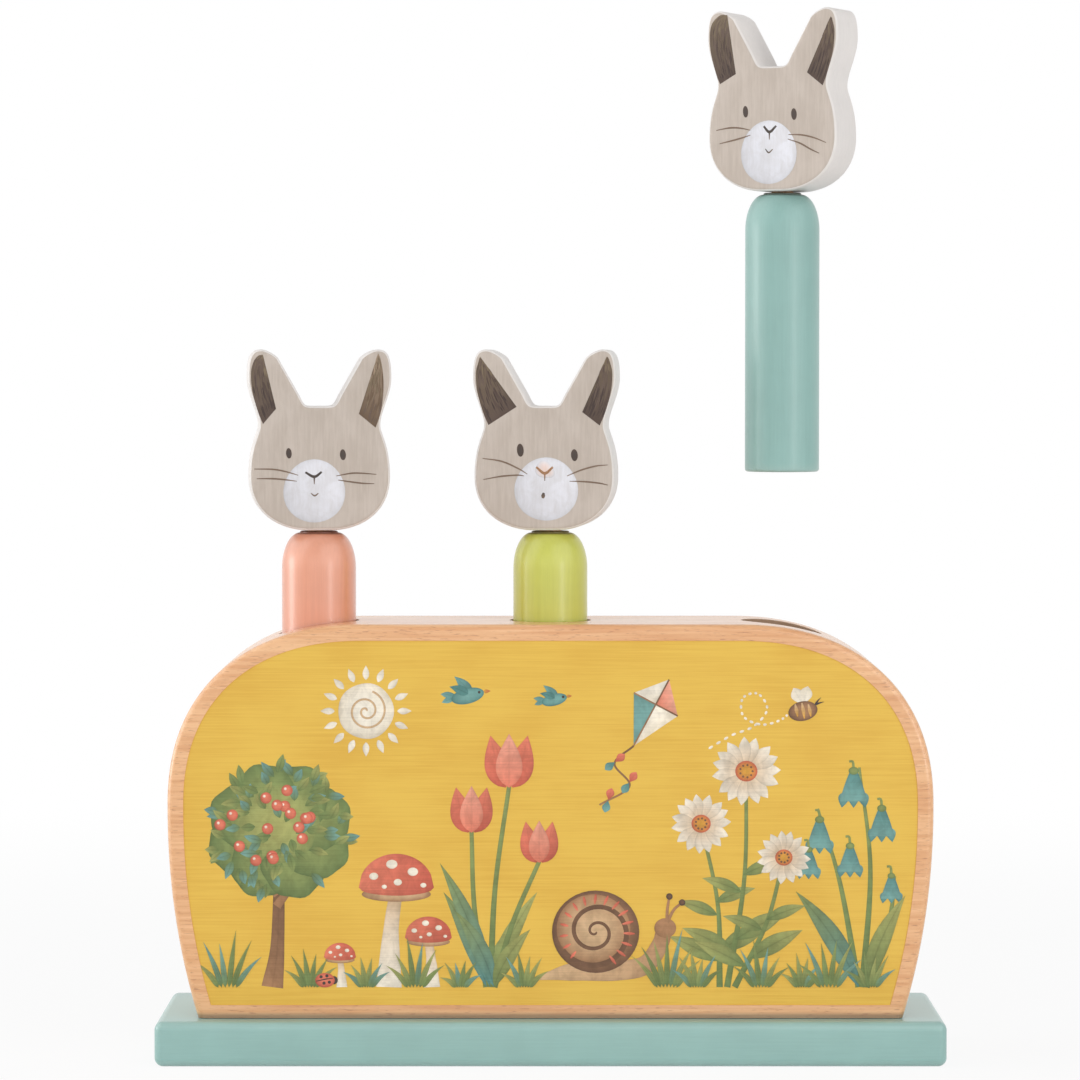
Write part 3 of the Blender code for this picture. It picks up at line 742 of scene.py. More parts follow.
pegShape = {
    "radius": 10.0 * mm,
    "neck": 5.1 * mm,
    "neckHeight": 0.45 * mm,
    "neckRim": (0.3 * mm, 0.2 * mm),
    # painted shadow under the head: its fade down the neck, then its strength and fade over the
    # dome
    "neckFade": 0.5 * mm,
    "dome": 9.6 * mm,
    "domeShade": 0.14,
    "domeFade": 6.0 * mm,
    "footRadius": 0.8 * mm,
    "footWear": 1.2 * mm,
    "bore": 3.3 * mm,
    "boreDepth": 11.3 * mm,
    "segments": 96,
}


def makePeg(side):
    # a lathed dowel: rounded foot, elliptic dome, neck and the pin's hole; a painted shadow under
    # the head darkens the neck fully and the dome faintly, more towards its top
    low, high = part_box(f"{side}_peg")
    shape = pegShape
    length, bore, neck, radius = high.z - low.z, shape["bore"], shape["neck"], shape["radius"]
    domeTop = length - shape["neckHeight"]
    domeFoot = domeTop - shape["dome"]
    inward, down = shape["neckRim"]
    profile = [(0.0, length - shape["boreDepth"]), (bore, length - shape["boreDepth"])]
    profile += [(bore, length), (neck - inward, length), (neck, length - down)]
    profile += arc((neck, domeFoot), (radius - neck, shape["dome"]), 90, 0, 24)
    profile += [(radius, domeFoot * share) for share in (0.98, 0.5, 0.04)]
    foot = shape["footRadius"]
    profile += arc((radius - foot, foot), (foot, foot), 0, -90, 8)
    profile += [(radius - foot - inward, 0.0), (0.0, 0.0)]
    heights = np.array(profile)[:, 1]

    def shadeUp(fade):
        return np.clip((heights - domeTop) / fade + 1.0, 0.0, 1.0)

    edge = np.clip(1.0 - heights / shape["footWear"], 0.0, 1.0)
    # painted shadow from the head: full on the neck, faint over the dome's top
    shade = np.maximum(shadeUp(shape["neckFade"]), shape["domeShade"] * shadeUp(shape["domeFade"]))
    count = shape["segments"]
    attributes = {"edge": np.repeat(edge, count), "shade": np.repeat(shade, count)}
    rest = {"attributes": attributes, **standing(side, f"{side}_peg")}
    peg = latheMesh(f"{side}Peg", profile, sides[side]["paint"], count, **rest)
    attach(peg, f"{side}_peg")
    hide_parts(f"{side}_peg")


for side in sides:
    makePeg(side)
print("pegs")


# Heads, half of the outline in heights above the chin and distances from the middle

headShape = {
    "thickness": 14.0 * mm,
    "edge": 1.1 * mm,
    "edgeSteps": 7,
    "support": 0.15 * mm,
    "edgeWear": 0.6,
    "wearReach": (0.1 * mm, 1.0 * mm),
    "print": 0.50 * mm,
    "chin": (2.7 * mm, 0.0),
    "cheek": (18.9 * mm, 14.4 * mm),
    "temple": (16.3 * mm, 28.4 * mm),
    "ear": (19.3 * mm, 41.1 * mm),
    "tip": (15.6 * mm, 48.6 * mm),
    "inner": (11.0 * mm, 46.1 * mm),
    "notchSide": (6.0 * mm, 37.3 * mm),
    "notch": (1.5 * mm, 33.4 * mm),
}


def headOutline():
    # right half of the outline as knots with handles before and after, then its mirror image; each
    # handle is a share of the way to the next knot
    names = ("chin", "cheek", "temple", "ear", "tip", "inner", "notchSide", "notch")
    chin, cheek, temple, ear, tip, inner, notchSide, notch = (headShape[name] for name in names)
    faceRise, earRise, tipRise = temple[1] - cheek[1], ear[1] - temple[1], tip[1] - ear[1]
    lean = np.subtract(inner, notchSide)
    right = [
        (chin, (0.0, 0.0), (chin[0] + 0.53 * (cheek[0] - chin[0]), 0.0)),
        (cheek, (cheek[0], cheek[1] * 0.34), (cheek[0], cheek[1] + 0.63 * faceRise)),
        (temple, (temple[0], temple[1] - 0.19 * faceRise), (temple[0], temple[1] + 0.27 * earRise)),
        (ear, (ear[0], ear[1] - 0.37 * earRise), (ear[0], ear[1] + 0.79 * tipRise)),
        (
            tip,
            (tip[0] + 0.70 * (ear[0] - tip[0]), tip[1]),
            (tip[0] - 0.31 * (tip[0] - inner[0]), tip[1]),
        ),
        (inner, tuple(inner + 0.11 * lean), tuple(inner - 0.11 * lean)),
        (notchSide, tuple(notchSide + 0.39 * lean), tuple(notchSide - 0.39 * lean)),
        (notch, (notch[0] + 0.70 * (notchSide[0] - notch[0]), notch[1]), (0.0, notch[1])),
    ]
    left = [
        tuple((-x, z) for x, z in (knot, after, before)) for knot, before, after in reversed(right)
    ]
    return bezier(right + left, 24)


def makeHead(side):
    # the outline's plate with rounded rims; only the flat of its front is printed
    shape, outline = headShape, headOutline()
    edge, steps, support = shape["edge"], shape["edgeSteps"], shape["support"]
    profile = rimProfile(shape["thickness"] / 2, edge, steps, support)
    face = [float(inset > shape["print"] and depth < 0.0) for inset, depth in profile]
    least, most = shape["wearReach"]
    edge = np.where([least <= inset <= most for inset, _ in profile], shape["edgeWear"], 0.0)
    count = len(outline)
    attributes = {"face": np.repeat(face, count), "edge": np.repeat(edge, count)}
    rest = {"attributes": attributes, **standing(side, f"{side}_head")}
    head = plateMesh(f"{side}Head", outline, profile, "head", **rest)
    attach(head, f"{side}_peg")
    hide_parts(f"{side}_head")


for side in sides:
    makeHead(side)
print("heads")


# Prints: thin patches of ink with colours on their points, all sizes here in mm

inks = {
    "leaf": (138, 150, 90),
    "deepLeaf": (110, 130, 78),
    "olive": (172, 172, 104),
    "teal": (122, 168, 162),
    "deepTeal": (88, 138, 134),
    "coral": (230, 130, 104),
    "deepCoral": (202, 98, 78),
    "blush": (240, 170, 146),
    "brown": (172, 128, 92),
    "deepBrown": (118, 86, 64),
    "sand": (212, 178, 138),
    "cream": (240, 228, 206),
    "ivory": (246, 238, 222),
    "ochre": (214, 158, 62),
    "charcoal": (72, 63, 58),
    "muzzle": (226, 226, 232),
    "whisker": (126, 106, 90),
    "innerEar": (126, 110, 88),
    "deepEar": (103, 86, 76),
    "darkEar": (84, 68, 60),
    "footEar": (66, 52, 47),
    "warmEar": (110, 89, 70),
    "paleEar": (166, 144, 122),
    "blushPale": (240, 216, 206),
}
draws = np.random.default_rng(11)
ground = 20.4
backDepth = 0.01


def inkValue(name):
    # screen colour, 0 to 255, as linear light
    value = np.array(inks[name]) / 255.0
    return np.where(value < 0.04045, value / 12.92, ((value + 0.055) / 1.055) ** 2.4)


def between(base, tip, share):
    return inkValue(base) + (inkValue(tip or base) - inkValue(base)) * share


def towards(angle):
    # the unit vector that points along an angle in degrees
    return np.array([math.cos(math.radians(angle)), math.sin(math.radians(angle))])


def shifted(patches, x, z):
    return [(points + (x, z), tint, isRound) for points, tint, isRound in patches]


def ruled(left, right, base, tip=None, vein=0.0):
    # point = left + (right - left) x share; the ink runs from base to tip, darker at edges and vein
    across = np.array([-1.0, -0.86, -0.55, -0.14, 0.0, 0.14, 0.55, 0.86, 1.0])
    left, right = np.asarray(left, float), np.asarray(right, float)
    points = left[:, None] + (right - left)[:, None] * (across[None, :, None] + 1.0) / 2.0
    colour = between(base, tip, np.linspace(0.0, 1.0, len(left))[:, None, None])
    shade = 1.0 - 0.16 * np.abs(across) ** 5 - 0.07 * across
    shade = shade - vein * np.exp(-((across / 0.12) ** 2))
    return points, colour * shade[None, :, None] * draws.uniform(0.93, 1.07), False


def stroke(centre, half, base, tip=None, vein=0.0):
    # a centre line with a half width to each side of it
    run = np.gradient(centre, axis=0)
    side = joined(-run[:, 1], run[:, 0]) / np.linalg.norm(run, axis=1, keepdims=True)
    offset = np.broadcast_to(half, len(centre))[:, None] * side
    return ruled(centre + offset, centre - offset, base, tip, vein)


def curve(knots, count):
    # Catmull-Rom: the smooth curve through the knots
    knots = np.asarray(knots, float)
    ends = np.vstack([2 * knots[0] - knots[1], knots, 2 * knots[-1] - knots[-2]])
    place = np.linspace(0.0, len(knots) - 1, count)
    index = np.minimum(place.astype(int), len(knots) - 2)
    share = (place - index)[:, None]
    p0, p1, p2, p3 = (ends[index + offset] for offset in range(4))
    bent = (2 * p0 - 5 * p1 + 4 * p2 - p3) * share ** 2 + (3 * p1 - p0 - 3 * p2 + p3) * share ** 3
    return 0.5 * (2 * p1 + (p2 - p0) * share + bent)


def line(knots, widths, base, tip=None, vein=0.0, rows=24):
    half = np.interp(np.linspace(0, 1, rows), np.linspace(0, 1, len(widths)), widths) / 2
    return stroke(curve(knots, rows), half, base, tip, vein)


def leaf(foot, length, angle, width, base, tip, bend=0.0, fullness=0.85, vein=0.30):
    # half width = width / 2 x sin(pi share^fullness); the centre line bends by the share squared
    share = np.linspace(0.0, 1.0, 14)[:, None]
    ahead = towards(angle)
    aside = np.array([-ahead[1], ahead[0]])
    centre = np.asarray(foot) + length * share * ahead + bend * share ** 2 * aside
    half = width / 2 * np.sin(math.pi * share[:, 0] ** fullness)
    return stroke(centre, half, base, tip, vein)


def blob(centre, radii, inner, outer=None, ripples=0, depth=0.0, turn=0.0, taper=0.0):
    # point = centre + share x radii x (cos t, sin t) x (1 + depth cos(ripples t)), narrowed
    # upwards by taper, then turned
    width, height = np.broadcast_to(radii, 2)
    share = np.array([0.0, 0.3, 0.6, 0.82, 0.93, 1.0])[:, None]
    angle = fullTurn(40)[None, :]
    wave = share * (1.0 + depth * np.cos(ripples * angle))
    x = width * wave * np.cos(angle) * (1.0 - taper * np.sin(angle))
    z = height * wave * np.sin(angle)
    cos, sin = towards(turn)
    points = joined(centre[0] + cos * x - sin * z, centre[1] + sin * x + cos * z)
    colour = between(inner, outer, (share ** 2)[..., None])
    light = 1.0 + 0.10 * share * np.sin(angle + math.radians(45 + turn)) - 0.14 * share ** 10
    return points, colour * light[..., None], True


def printPiece(name, patches, face, depths, body, finish="ink", **where):
    # each patch is a closed solid: its front at its own depth before the face, its back sunk in it
    points, faces, tints, start = [], [], [], 0
    for (flat, tint, isRound), front in zip(patches, np.linspace(*depths, len(patches))):
        tint = np.broadcast_to(tint, flat.shape[:2] + (3,))
        axis = 0 if isRound else 1
        flat, tint = (
            np.concatenate([part, part.take((-1, 0), axis)], axis) for part in (flat, tint)
        )
        rows, columns = flat.shape[:2]
        depth = np.full((rows, columns), face - front)
        (depth if isRound else depth.T)[-2:] = face + backDepth
        points.append(joined(flat[..., 0], depth, flat[..., 1]).reshape(-1, 3) * mm)
        faces += (gridFaces if isRound else tubeFaces)(rows, columns, start)
        tints.append(tint.reshape(-1, 3))
        start += rows * columns
    ink = np.hstack([np.concatenate(tints), np.ones((start, 1))])
    piece = newPiece(name, np.concatenate(points), faces, finish, {"ink": ink}, **where)
    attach(piece, body)


# The meadow on the front panel: each motif gives its patches one by one, drawn about (0, 0), or
# at its own height where it stands on the ground

stem = ("deepLeaf", "leaf")
wood = ("brown", "deepBrown")
red = ("coral", "deepCoral")
feather = ("deepTeal", "teal")
petal = ("ivory", "cream")


def tree(spread, rise):
    # a trunk with two boughs, round clumps, then leaves and berries strewn over the crown
    def strewn(share, least):
        angle, reach = draws.uniform(0, 360), math.sqrt(draws.uniform(least, 1.0))
        return angle, spread * share * reach * towards(angle) * (1.0, 0.92)

    yield line([(-2, -rise), (-0.6, -30), (0, -6)], [5.8, 3.6, 2.6], *wood, 0.15)
    yield line([(-0.8, -20), (5, -12), (9, -4)], [2.4, 1.6, 0.6], *wood)
    yield line([(-0.6, -17), (-6, -10), (-9, -2)], [2.2, 1.4, 0.6], *wood)
    for angle in range(200, 560, 45):
        place, radii = spread * towards(angle) * (0.56, 0.50), (spread * 0.50, spread * 0.46)
        yield blob(place, radii, "leaf", "deepLeaf", 7, 0.03, angle)
    yield blob((-1, 2), (spread * 0.62, spread * 0.56), "olive", "leaf", 9, 0.03)
    for _ in range(90):
        angle, place = strewn(0.94, 0.02)
        tip = ["olive", "leaf", "olive", "teal"][draws.integers(4)]
        lean, length = angle + draws.uniform(-50, 50), draws.uniform(3.6, 5.4)
        yield leaf(place, length, lean, 2.2, "deepLeaf", tip, draws.uniform(-0.6, 0.6))
    for _ in range(17):
        _, place = strewn(0.92, 0.03)
        yield blob(place, 1.5, *red)
        yield blob(place + (-0.45, 0.45), 0.42, "ivory", "blush")


toadstoolSpots = (
    (-0.30, 0.20, 0.06), (-0.06, 0.36, 0.075), (0.22, 0.26, 0.07),
    (0.02, 0.12, 0.055), (0.36, 0.08, 0.04), (-0.16, 0.06, 0.035),
)


def toadstool(height, cap, lean):
    # the cap's top is an ellipse, its rim hangs a little below it
    knots = [(0, ground), (lean * 0.3, ground + (height - ground) * 0.6), (lean, height)]
    yield line(knots, [cap * 0.34, cap * 0.20, cap * 0.17], "ivory", "sand")
    yield blob((lean, height - 0.04 * cap), (cap * 0.46, cap * 0.10), "sand", "brown")
    share = np.linspace(-1.0, 1.0, 26)
    bow = np.sqrt(np.clip(1.0 - share ** 2, 0.0, 1.0))
    under = joined(lean + cap / 2 * share, height + cap * (0.05 - 0.11 * bow))
    yield ruled(under + np.outer(cap * 0.56 * bow, (0, 1)), under, *red)
    for across, up, size in toadstoolSpots:
        place = (lean + across * cap, height + up * cap)
        yield blob(place, (size * cap, size * cap * 0.8), *petal)


def snail():
    # the body, the head, two feelers and a shell of two discs with a spiral and short rays on it
    body = [(-15, 0), (-6, 1.8), (6, 2.2), (14, 3.6), (18, 9), (19.2, 13)]
    yield line(body, [0.5, 4.6, 5.4, 5.0, 4.4, 4.2], "sand", "brown", rows=40)
    yield blob((19.5, 13.6), (2.9, 2.6), "brown")
    for tip in ((24.0, 20.4), (20.6, 22.0)):
        yield line([(20, 15), ((tip[0] + 19.5) / 2, 18.4), tip], [0.9, 0.6], "brown")
        yield blob(tip, 0.85, "deepBrown", "charcoal")
    middle = np.array([1.0, 12.6])
    yield blob(middle, (11.6, 11.0), *wood)
    yield blob(middle + (-0.6, 0.8), (9.8, 9.2), "sand", "brown")
    turn = np.linspace(0.3, 2.35 * 2 * math.pi, 110)
    reach = 10.2 * (turn / turn[-1]) ** 1.15
    spiral = middle + reach[:, None] * joined(np.cos(turn + 0.4), -0.95 * np.sin(turn + 0.4))
    yield stroke(spiral, np.linspace(0.25, 0.75, 110), "deepBrown")
    for angle in range(-60, 240, 19):
        ray = towards(angle)
        knots = [middle + 7.4 * ray, middle + 10.0 * ray + (0.4, 0)]
        yield line(knots, [0.3, 0.9, 0.3], *red, rows=6)


def daisy(head, size):
    # a stem with four leaves, fifteen petals and an eye with a ring of dots
    foot, head = np.array([0, ground]), np.array(head)
    yield line([foot, (foot + head) / 2 + (2.0, 0), head], [1.7, 1.1, 0.9], *stem)
    for share, angle, length in ((0.16, 148, 15), (0.22, 34, 16), (0.44, 152, 11), (0.52, 28, 11)):
        place = foot + (head - foot) * share + (1.6 * math.sin(math.pi * share), 0)
        bend = math.copysign(1.6, angle - 90)
        yield leaf(place, length, angle, length * 0.30, "deepLeaf", "olive", bend)
    for angle in range(0, 360, 24):
        lean = angle + draws.uniform(-4, 4)
        yield leaf(head, size, lean, size * 0.36, "sand", "ivory", 0, 1.5, 0.06)
    yield blob(head, (size * 0.32, size * 0.30), "ochre", "deepCoral")
    for angle in range(0, 360, 40):
        yield blob(head + size * 0.18 * towards(angle), 0.28, "deepBrown")


def tulip(head, size):
    # a stem with two long leaves, and three petals
    foot, head = np.array([0, ground]), np.array(head)
    rise = head[1] - ground
    yield line([foot, (foot + head) / 2 + (-1.2, 0), head], [1.8, 1.3, 1.1], *stem)
    yield leaf(foot, rise * 0.66, 104, 4.6, "deepTeal", "leaf", 5.0)
    yield leaf(foot, rise * 0.52, 74, 4.4, "deepLeaf", "olive", -5.0)
    petals = (112, -1.5, *red[::-1]), (68, 1.5, *red[::-1]), (90, 0, "coral", "blush")
    for angle, bend, *tints in petals:
        place = head + (0.22 * size * towards(angle)[0], -0.4)
        yield leaf(place, size * 1.25, angle, size * 0.62, *tints, bend, 0.72, 0.12)


def bellFlower(bends, bells):
    # a bent stem; each bell hangs from a hook, widens downwards and has three points
    yield line([(0, ground)] + bends, [1.8, 1.2, 0.7], *stem, rows=40)
    for x, z, size in bells:
        yield from shifted(bell(size), x, z)


def bell(size):
    yield line([(-1.2, 2.6), (-0.2, 2.4), (0, -0.4)], [0.6, 0.7], "leaf", rows=8)
    for across in (-0.34, 0.0, 0.34):
        foot, lean = (across * size, -size * 0.8), 270 + 30 * across
        yield leaf(foot, size * 0.60, lean, size * 0.40, *feather[::-1], 0, 0.7, 0.0)
    share = np.linspace(0.0, 1.0, 12)
    half = size * (0.14 + 0.30 * np.sin(share * math.pi / 2) + 0.10 * share ** 4)
    yield ruled(joined(-half, -size * 1.15 * share), joined(half, -size * 1.15 * share), *feather)
    yield blob((0, 0.1), (size * 0.19, size * 0.15), "leaf", "deepLeaf")


def blade(*values):
    yield leaf((0, ground), *values)


def tuft(size, blades=6):
    # blades that lean out from the middle
    for share in np.linspace(-1.0, 1.0, blades):
        length = size * (1.0 - 0.35 * share ** 2) * draws.uniform(0.8, 1.1)
        tip = ["leaf", "olive", "teal"][draws.integers(3)]
        foot, lean, bend = (share * size * 0.16, ground - 0.1), 90 - 26 * share, -2.5 * share
        yield leaf(foot, length, lean, 1.5, "deepLeaf", tip, bend, 0.55, 0.2)


def sun(size):
    # sixteen rays round a disc with a spiral on it
    for angle in np.linspace(0, 360, 16, endpoint=False):
        foot = size * 1.12 * towards(angle)
        yield leaf(foot, size * 0.52, angle, size * 0.24, *petal, 0, 0.8, 0.0)
    yield blob((0, 0), size, *petal, 5, 0.012)
    turn = np.linspace(0.4, 2.2 * 2 * math.pi, 80)
    reach = size * 0.74 * turn / turn[-1]
    yield stroke(reach[:, None] * joined(np.cos(turn), np.sin(turn)), 0.28, "sand")


def kite(turn, trail):
    # four triangles round a middle, turned, with a tail of bows
    ahead = towards(turn)
    turned = np.array([ahead, (-ahead[1], ahead[0])])
    corners = np.array([(0, 9.5), (6.6, 2.0), (0, -10.5), (-6.6, 2.0)]) @ turned
    middle = (0, 2.0) @ turned
    tail = curve([corners[2]] + trail, 60)
    yield stroke(tail, 0.26, "deepBrown", "brown")
    for index in (18, 36, 54):
        for angle, tints in ((20, red[::-1]), (200, feather)):
            yield leaf(tail[index], 3.4, angle + index, 2.2, *tints, 0, 1.3, 0.1)
    colours = (("coral", "blush"), petal, ("teal", "teal"), petal[::-1])
    share = np.linspace(0.01, 1, 10)[:, None]
    for corner, beside, tints in zip(corners, np.roll(corners, -1, axis=0), colours):
        yield ruled(middle + (corner - middle) * share, middle + (beside - middle) * share, *tints)
    for start in (0, 1):
        yield line(corners[start::2], [0.4, 0.4], "deepBrown", "brown", rows=6)


def bird(size):
    # tail, far wing, body, beak, near wing and eye, in shares of its size
    def plume(across, up, length, angle, width, *rest):
        return leaf((across * size, up * size), length * size, angle, width * size, *rest)

    for angle in (202, 174):
        yield plume(-0.30, 0, 0.55, angle, 0.20, *feather, 0, 1.2, 0.2)
    yield plume(0.1, 0.05, 0.75, 122, 0.34, *feather, 1.2, 0.7, 0.2)
    yield blob((0, 0), (size * 0.52, size * 0.24), *feather[::-1], turn=14)
    yield plume(0.5, 0.14, 0.22, 5, 0.12, "ochre", "deepCoral", 0, 0.6, 0)
    yield plume(0.02, 0.06, 0.62, 148, 0.30, "deepTeal", "deepTeal", 1.0, 0.7, 0.3)
    yield blob((size * 0.36, size * 0.12), 0.36, "charcoal")


def bee(trail):
    # a dashed looping trail, two wings, a striped body and two feelers
    trail = curve(trail, 241)
    for start in range(0, 234, 9):
        yield stroke(trail[start:start + 6], (0.1, 0.3, 0.34, 0.34, 0.3, 0.1), *petal)
    for angle in (118, 76):
        yield leaf((0, 1.4), 5.4, angle, 3.4, *petal, 0, 1.4, 0.1)
    yield blob((0, 0), (3.9, 2.6), *wood, turn=12)
    for x in (-1.7, 0.1, 1.8):
        knots = [(x + 0.3, abs(x) * 0.3 - 2.0), (x, 0.2), (x - 0.4, 2.2 - abs(x) * 0.2)]
        yield line(knots, [0.3, 1.1, 0.3], "ochre", "sand", rows=8)
    for lean in (30, 62):
        yield leaf((3.2, 1.6), 2.6, lean, 0.5, "charcoal", "charcoal", -0.5, 0.5, 0)


def ladybird(size):
    # head, back, the line between the wings and four spots, in shares of its size
    yield blob((size * 0.9, size * 0.1), size * 0.42, "charcoal")
    yield blob((0, size * 0.1), (size, size * 0.74), *red)
    parting = size * np.array([(-0.9, 0), (0, 0.2), (0.8, 0.3)])
    yield line(parting, [0.2, 0.35, 0.2], "charcoal", rows=8)
    for across, up in ((-0.4, 0.45), (0.2, 0.55), (-0.1, -0.2), (0.45, -0.1)):
        yield blob((across * size, up * size), 0.42, "charcoal")


kiteTail = [(-10, -14), (-6, -20), (-14, -25)]
beeTrail = [(-25, -10), (-19, -6.5), (-13, -4), (-9.5, 0.5), (-12, 4.6), (-16, 3.4)]
beeTrail += [(-15.8, -1.4), (-11, -3.6), (-6, -2.4), (-3, 0)]
behind, before = (0.02, 0.10), (0.11, 0.17)

# each print: its patches' depths before the panel's face, then rows of a motif, how far it is
# shifted along x and z, and its values
motifs = {
    "printTree": (behind, (tree, -72, 62, 18.5, 41.6)),
    "printToadstools": (
        behind,
        (toadstool, -43, 0, 46, 20, 2),
        (toadstool, -31.5, 0, 33, 12.5, -1),
        (toadstool, -55.5, 0, 28, 8.5, -0.5),
    ),
    "printTulips": (
        behind,
        (tulip, -17, 0, (-4, 62), 10),
        (tulip, -16, 0, (5, 74), 11.5),
        (tulip, -15, 0, (12, 54), 9),
    ),
    "printSnail": (before, (snail, 11, 22.6)),
    "printDaisies": (
        behind,
        (daisy, 45, 0, (-5, 64), 8.0),
        (daisy, 47, 0, (5, 78), 9.2),
        (daisy, 49, 0, (13, 55), 7.2),
    ),
    "printBells": (
        behind,
        (bellFlower, 82, 0, [(-5, 48), (-11, 68)], [(-10.5, 65, 6.5), (-13.4, 57, 5.6)]),
        (bellFlower, 83, 0, [(2, 52), (-1, 79)], [(-2.5, 78, 7.0), (5, 68, 6.4), (-3.4, 58, 6.0)]),
        (bellFlower, 84, 0, [(6, 38), (7.5, 50)], [(6.6, 50, 5.2)]),
        (blade, 82, 0, 30, 112, 5.4, "deepTeal", "leaf", 6),
        (blade, 84, 0, 26, 78, 5.0, "deepLeaf", "olive", -5),
    ),
    "printSun": (behind, (sun, -49, 94, 7.4)),
    "printBirds": (behind, (bird, -22, 98, 8.5), (bird, 1, 97, 6.5)),
    "printKite": (behind, (kite, 27, 94, -28, kiteTail)),
    "printBee": (behind, (bee, 67, 94, beeTrail)),
    "printLadybird": (before, (ladybird, -60, 22, 2.6)),
    "printGrass": (
        before,
        (tuft, -86, 0, 15), (tuft, -64, 0, 11), (tuft, -49, 0, 9), (tuft, -36, 0, 13),
        (tuft, -24, 0, 8), (tuft, -7, 0, 10), (tuft, 31, 0, 16, 7), (tuft, 39, 0, 10),
        (tuft, 56, 0, 12), (tuft, 67, 0, 9), (tuft, 74, 0, 14), (tuft, 85, 0, 10),
    ),
}
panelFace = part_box("front_panel")[0].y / mm
for name, (depths, *rows) in motifs.items():
    patches = [shifted(motif(*values), x, z) for motif, x, z, *values in rows]
    printPiece(name, sum(patches, []), panelFace, depths, "housing")
print("meadow print")


# The faces: heights above the chin and distances from the middle of the face, in mm

faces = {
    "left": {
        "rise": 0.75,
        "ears": (
            ((-11.7, 32.7), (-15.2, 47.2), (-15.2, 28.6)),
            ((10.5, 31.3), (15.7, 47.6), (15.0, 27.6), True),
        ),
        "eyes": ((-8.3, 20.0, 0.75, 1.40), (6.2, 19.6, 0.80, 1.45)),
        "muzzle": (-1.5, 9.9, 8.3, 8.5),
        "nose": ("charcoal", (-3.9, 14.9), (-1.5, 13.7), (0.5, 15.0)),
        "mouth": ("whisker", (-2.4, 9.3), (-1.4, 8.6), (-0.4, 9.3)),
        "mouthWidths": (0.22, 0.46, 0.22),
        "whiskers": (
            ((-17.6, 15.8), (-12.6, 15.7), (-9.2, 15.1), (-5.8, 14.1)),
            ((-16.9, 13.2), (-12.6, 13.2), (-9.2, 12.9), (-6.2, 12.5)),
            ((4.4, 13.9), (8.4, 14.6), (11.6, 14.6), (15.2, 14.3)),
            ((4.9, 12.8), (8.4, 12.3), (11.6, 11.9), (14.6, 11.8)),
        ),
    },
    "middle": {
        "rise": 0.75,
        "ears": (
            ((-7.4, 33.2), (-17.2, 46.6), (-15.0, 28.3)),
            ((10.3, 31.8), (16.9, 46.7), (15.0, 28.2)),
        ),
        "eyes": ((-6.4, 20.8, 0.90, 1.75), (8.2, 19.5, 0.90, 1.60)),
        "muzzle": (0.6, 10.4, 8.6, 8.5),
        "nose": ("brown", (-2.1, 16.3), (0.2, 14.6), (2.4, 16.3)),
        "mouth": ("charcoal", (-0.1, 9.4), (-0.2, 8.6), (-0.3, 7.9)),
        "mouthWidths": (0.5, 1.1, 0.6),
        "whiskers": (
            ((-16.6, 18.6), (-11.4, 17.8), (-7.0, 15.9), (-4.5, 14.4)),
            ((-16.4, 12.9), (-11.4, 13.8), (-7.0, 14.1), (-5.4, 13.9)),
            ((6.2, 13.9), (10.0, 15.5), (14.0, 16.6), (17.2, 16.9)),
            ((6.9, 12.5), (11.0, 12.4), (14.9, 12.0), (17.2, 11.5)),
        ),
    },
    "right": {
        "rise": 0.40,
        "ears": (
            ((-10.6, 31.6), (-13.2, 47.5), (-15.3, 29.0)),
            ((10.4, 31.4), (17.3, 46.0), (15.0, 27.8)),
        ),
        "eyes": ((-7.7, 21.0, 0.75, 1.55), (6.6, 20.0, 0.80, 1.55)),
        "muzzle": (-0.8, 10.0, 8.2, 8.5),
        "nose": ("charcoal", (-2.3, 17.0), (-0.6, 15.4), (1.4, 17.0)),
        "mouth": ("charcoal", (-1.8, 10.9), (-0.8, 9.9), (0.4, 10.8)),
        "mouthWidths": (0.22, 0.46, 0.22),
        "whiskers": (
            ((-16.4, 16.2), (-12.2, 16.8), (-9.0, 16.6), (-6.2, 16.0)),
            ((-15.4, 12.6), (-11.4, 13.4), (-8.4, 14.1), (-6.2, 14.7)),
            ((5.0, 14.6), (8.8, 14.4), (12.4, 13.6), (16.0, 12.2)),
            ((4.8, 13.4), (8.4, 12.2), (11.4, 10.6), (14.0, 9.4)),
        ),
    },
}
faceLines = {
    "whisker": [0.20, 0.44, 0.40, 0.18],
    "nose": [0.55, 0.80, 0.55],
    "noseDrop": [0.50, 0.22],
    "drop": 2.0,
}
earLook = {
    "rim": [(16.5, 31.8), (18.0, 37.2), (18.4, 42.2), (17.7, 45.3)],
    "tones": ["footEar", "darkEar", "deepEar", "innerEar"],
    "fadedRim": [(16.4, 31.8), (17.1, 37.2), (17.0, 42.2)],
    "fadedTones": ["deepEar", "warmEar", "innerEar", "paleEar"],
    "strokes": 120,
    "steps": 40,
}


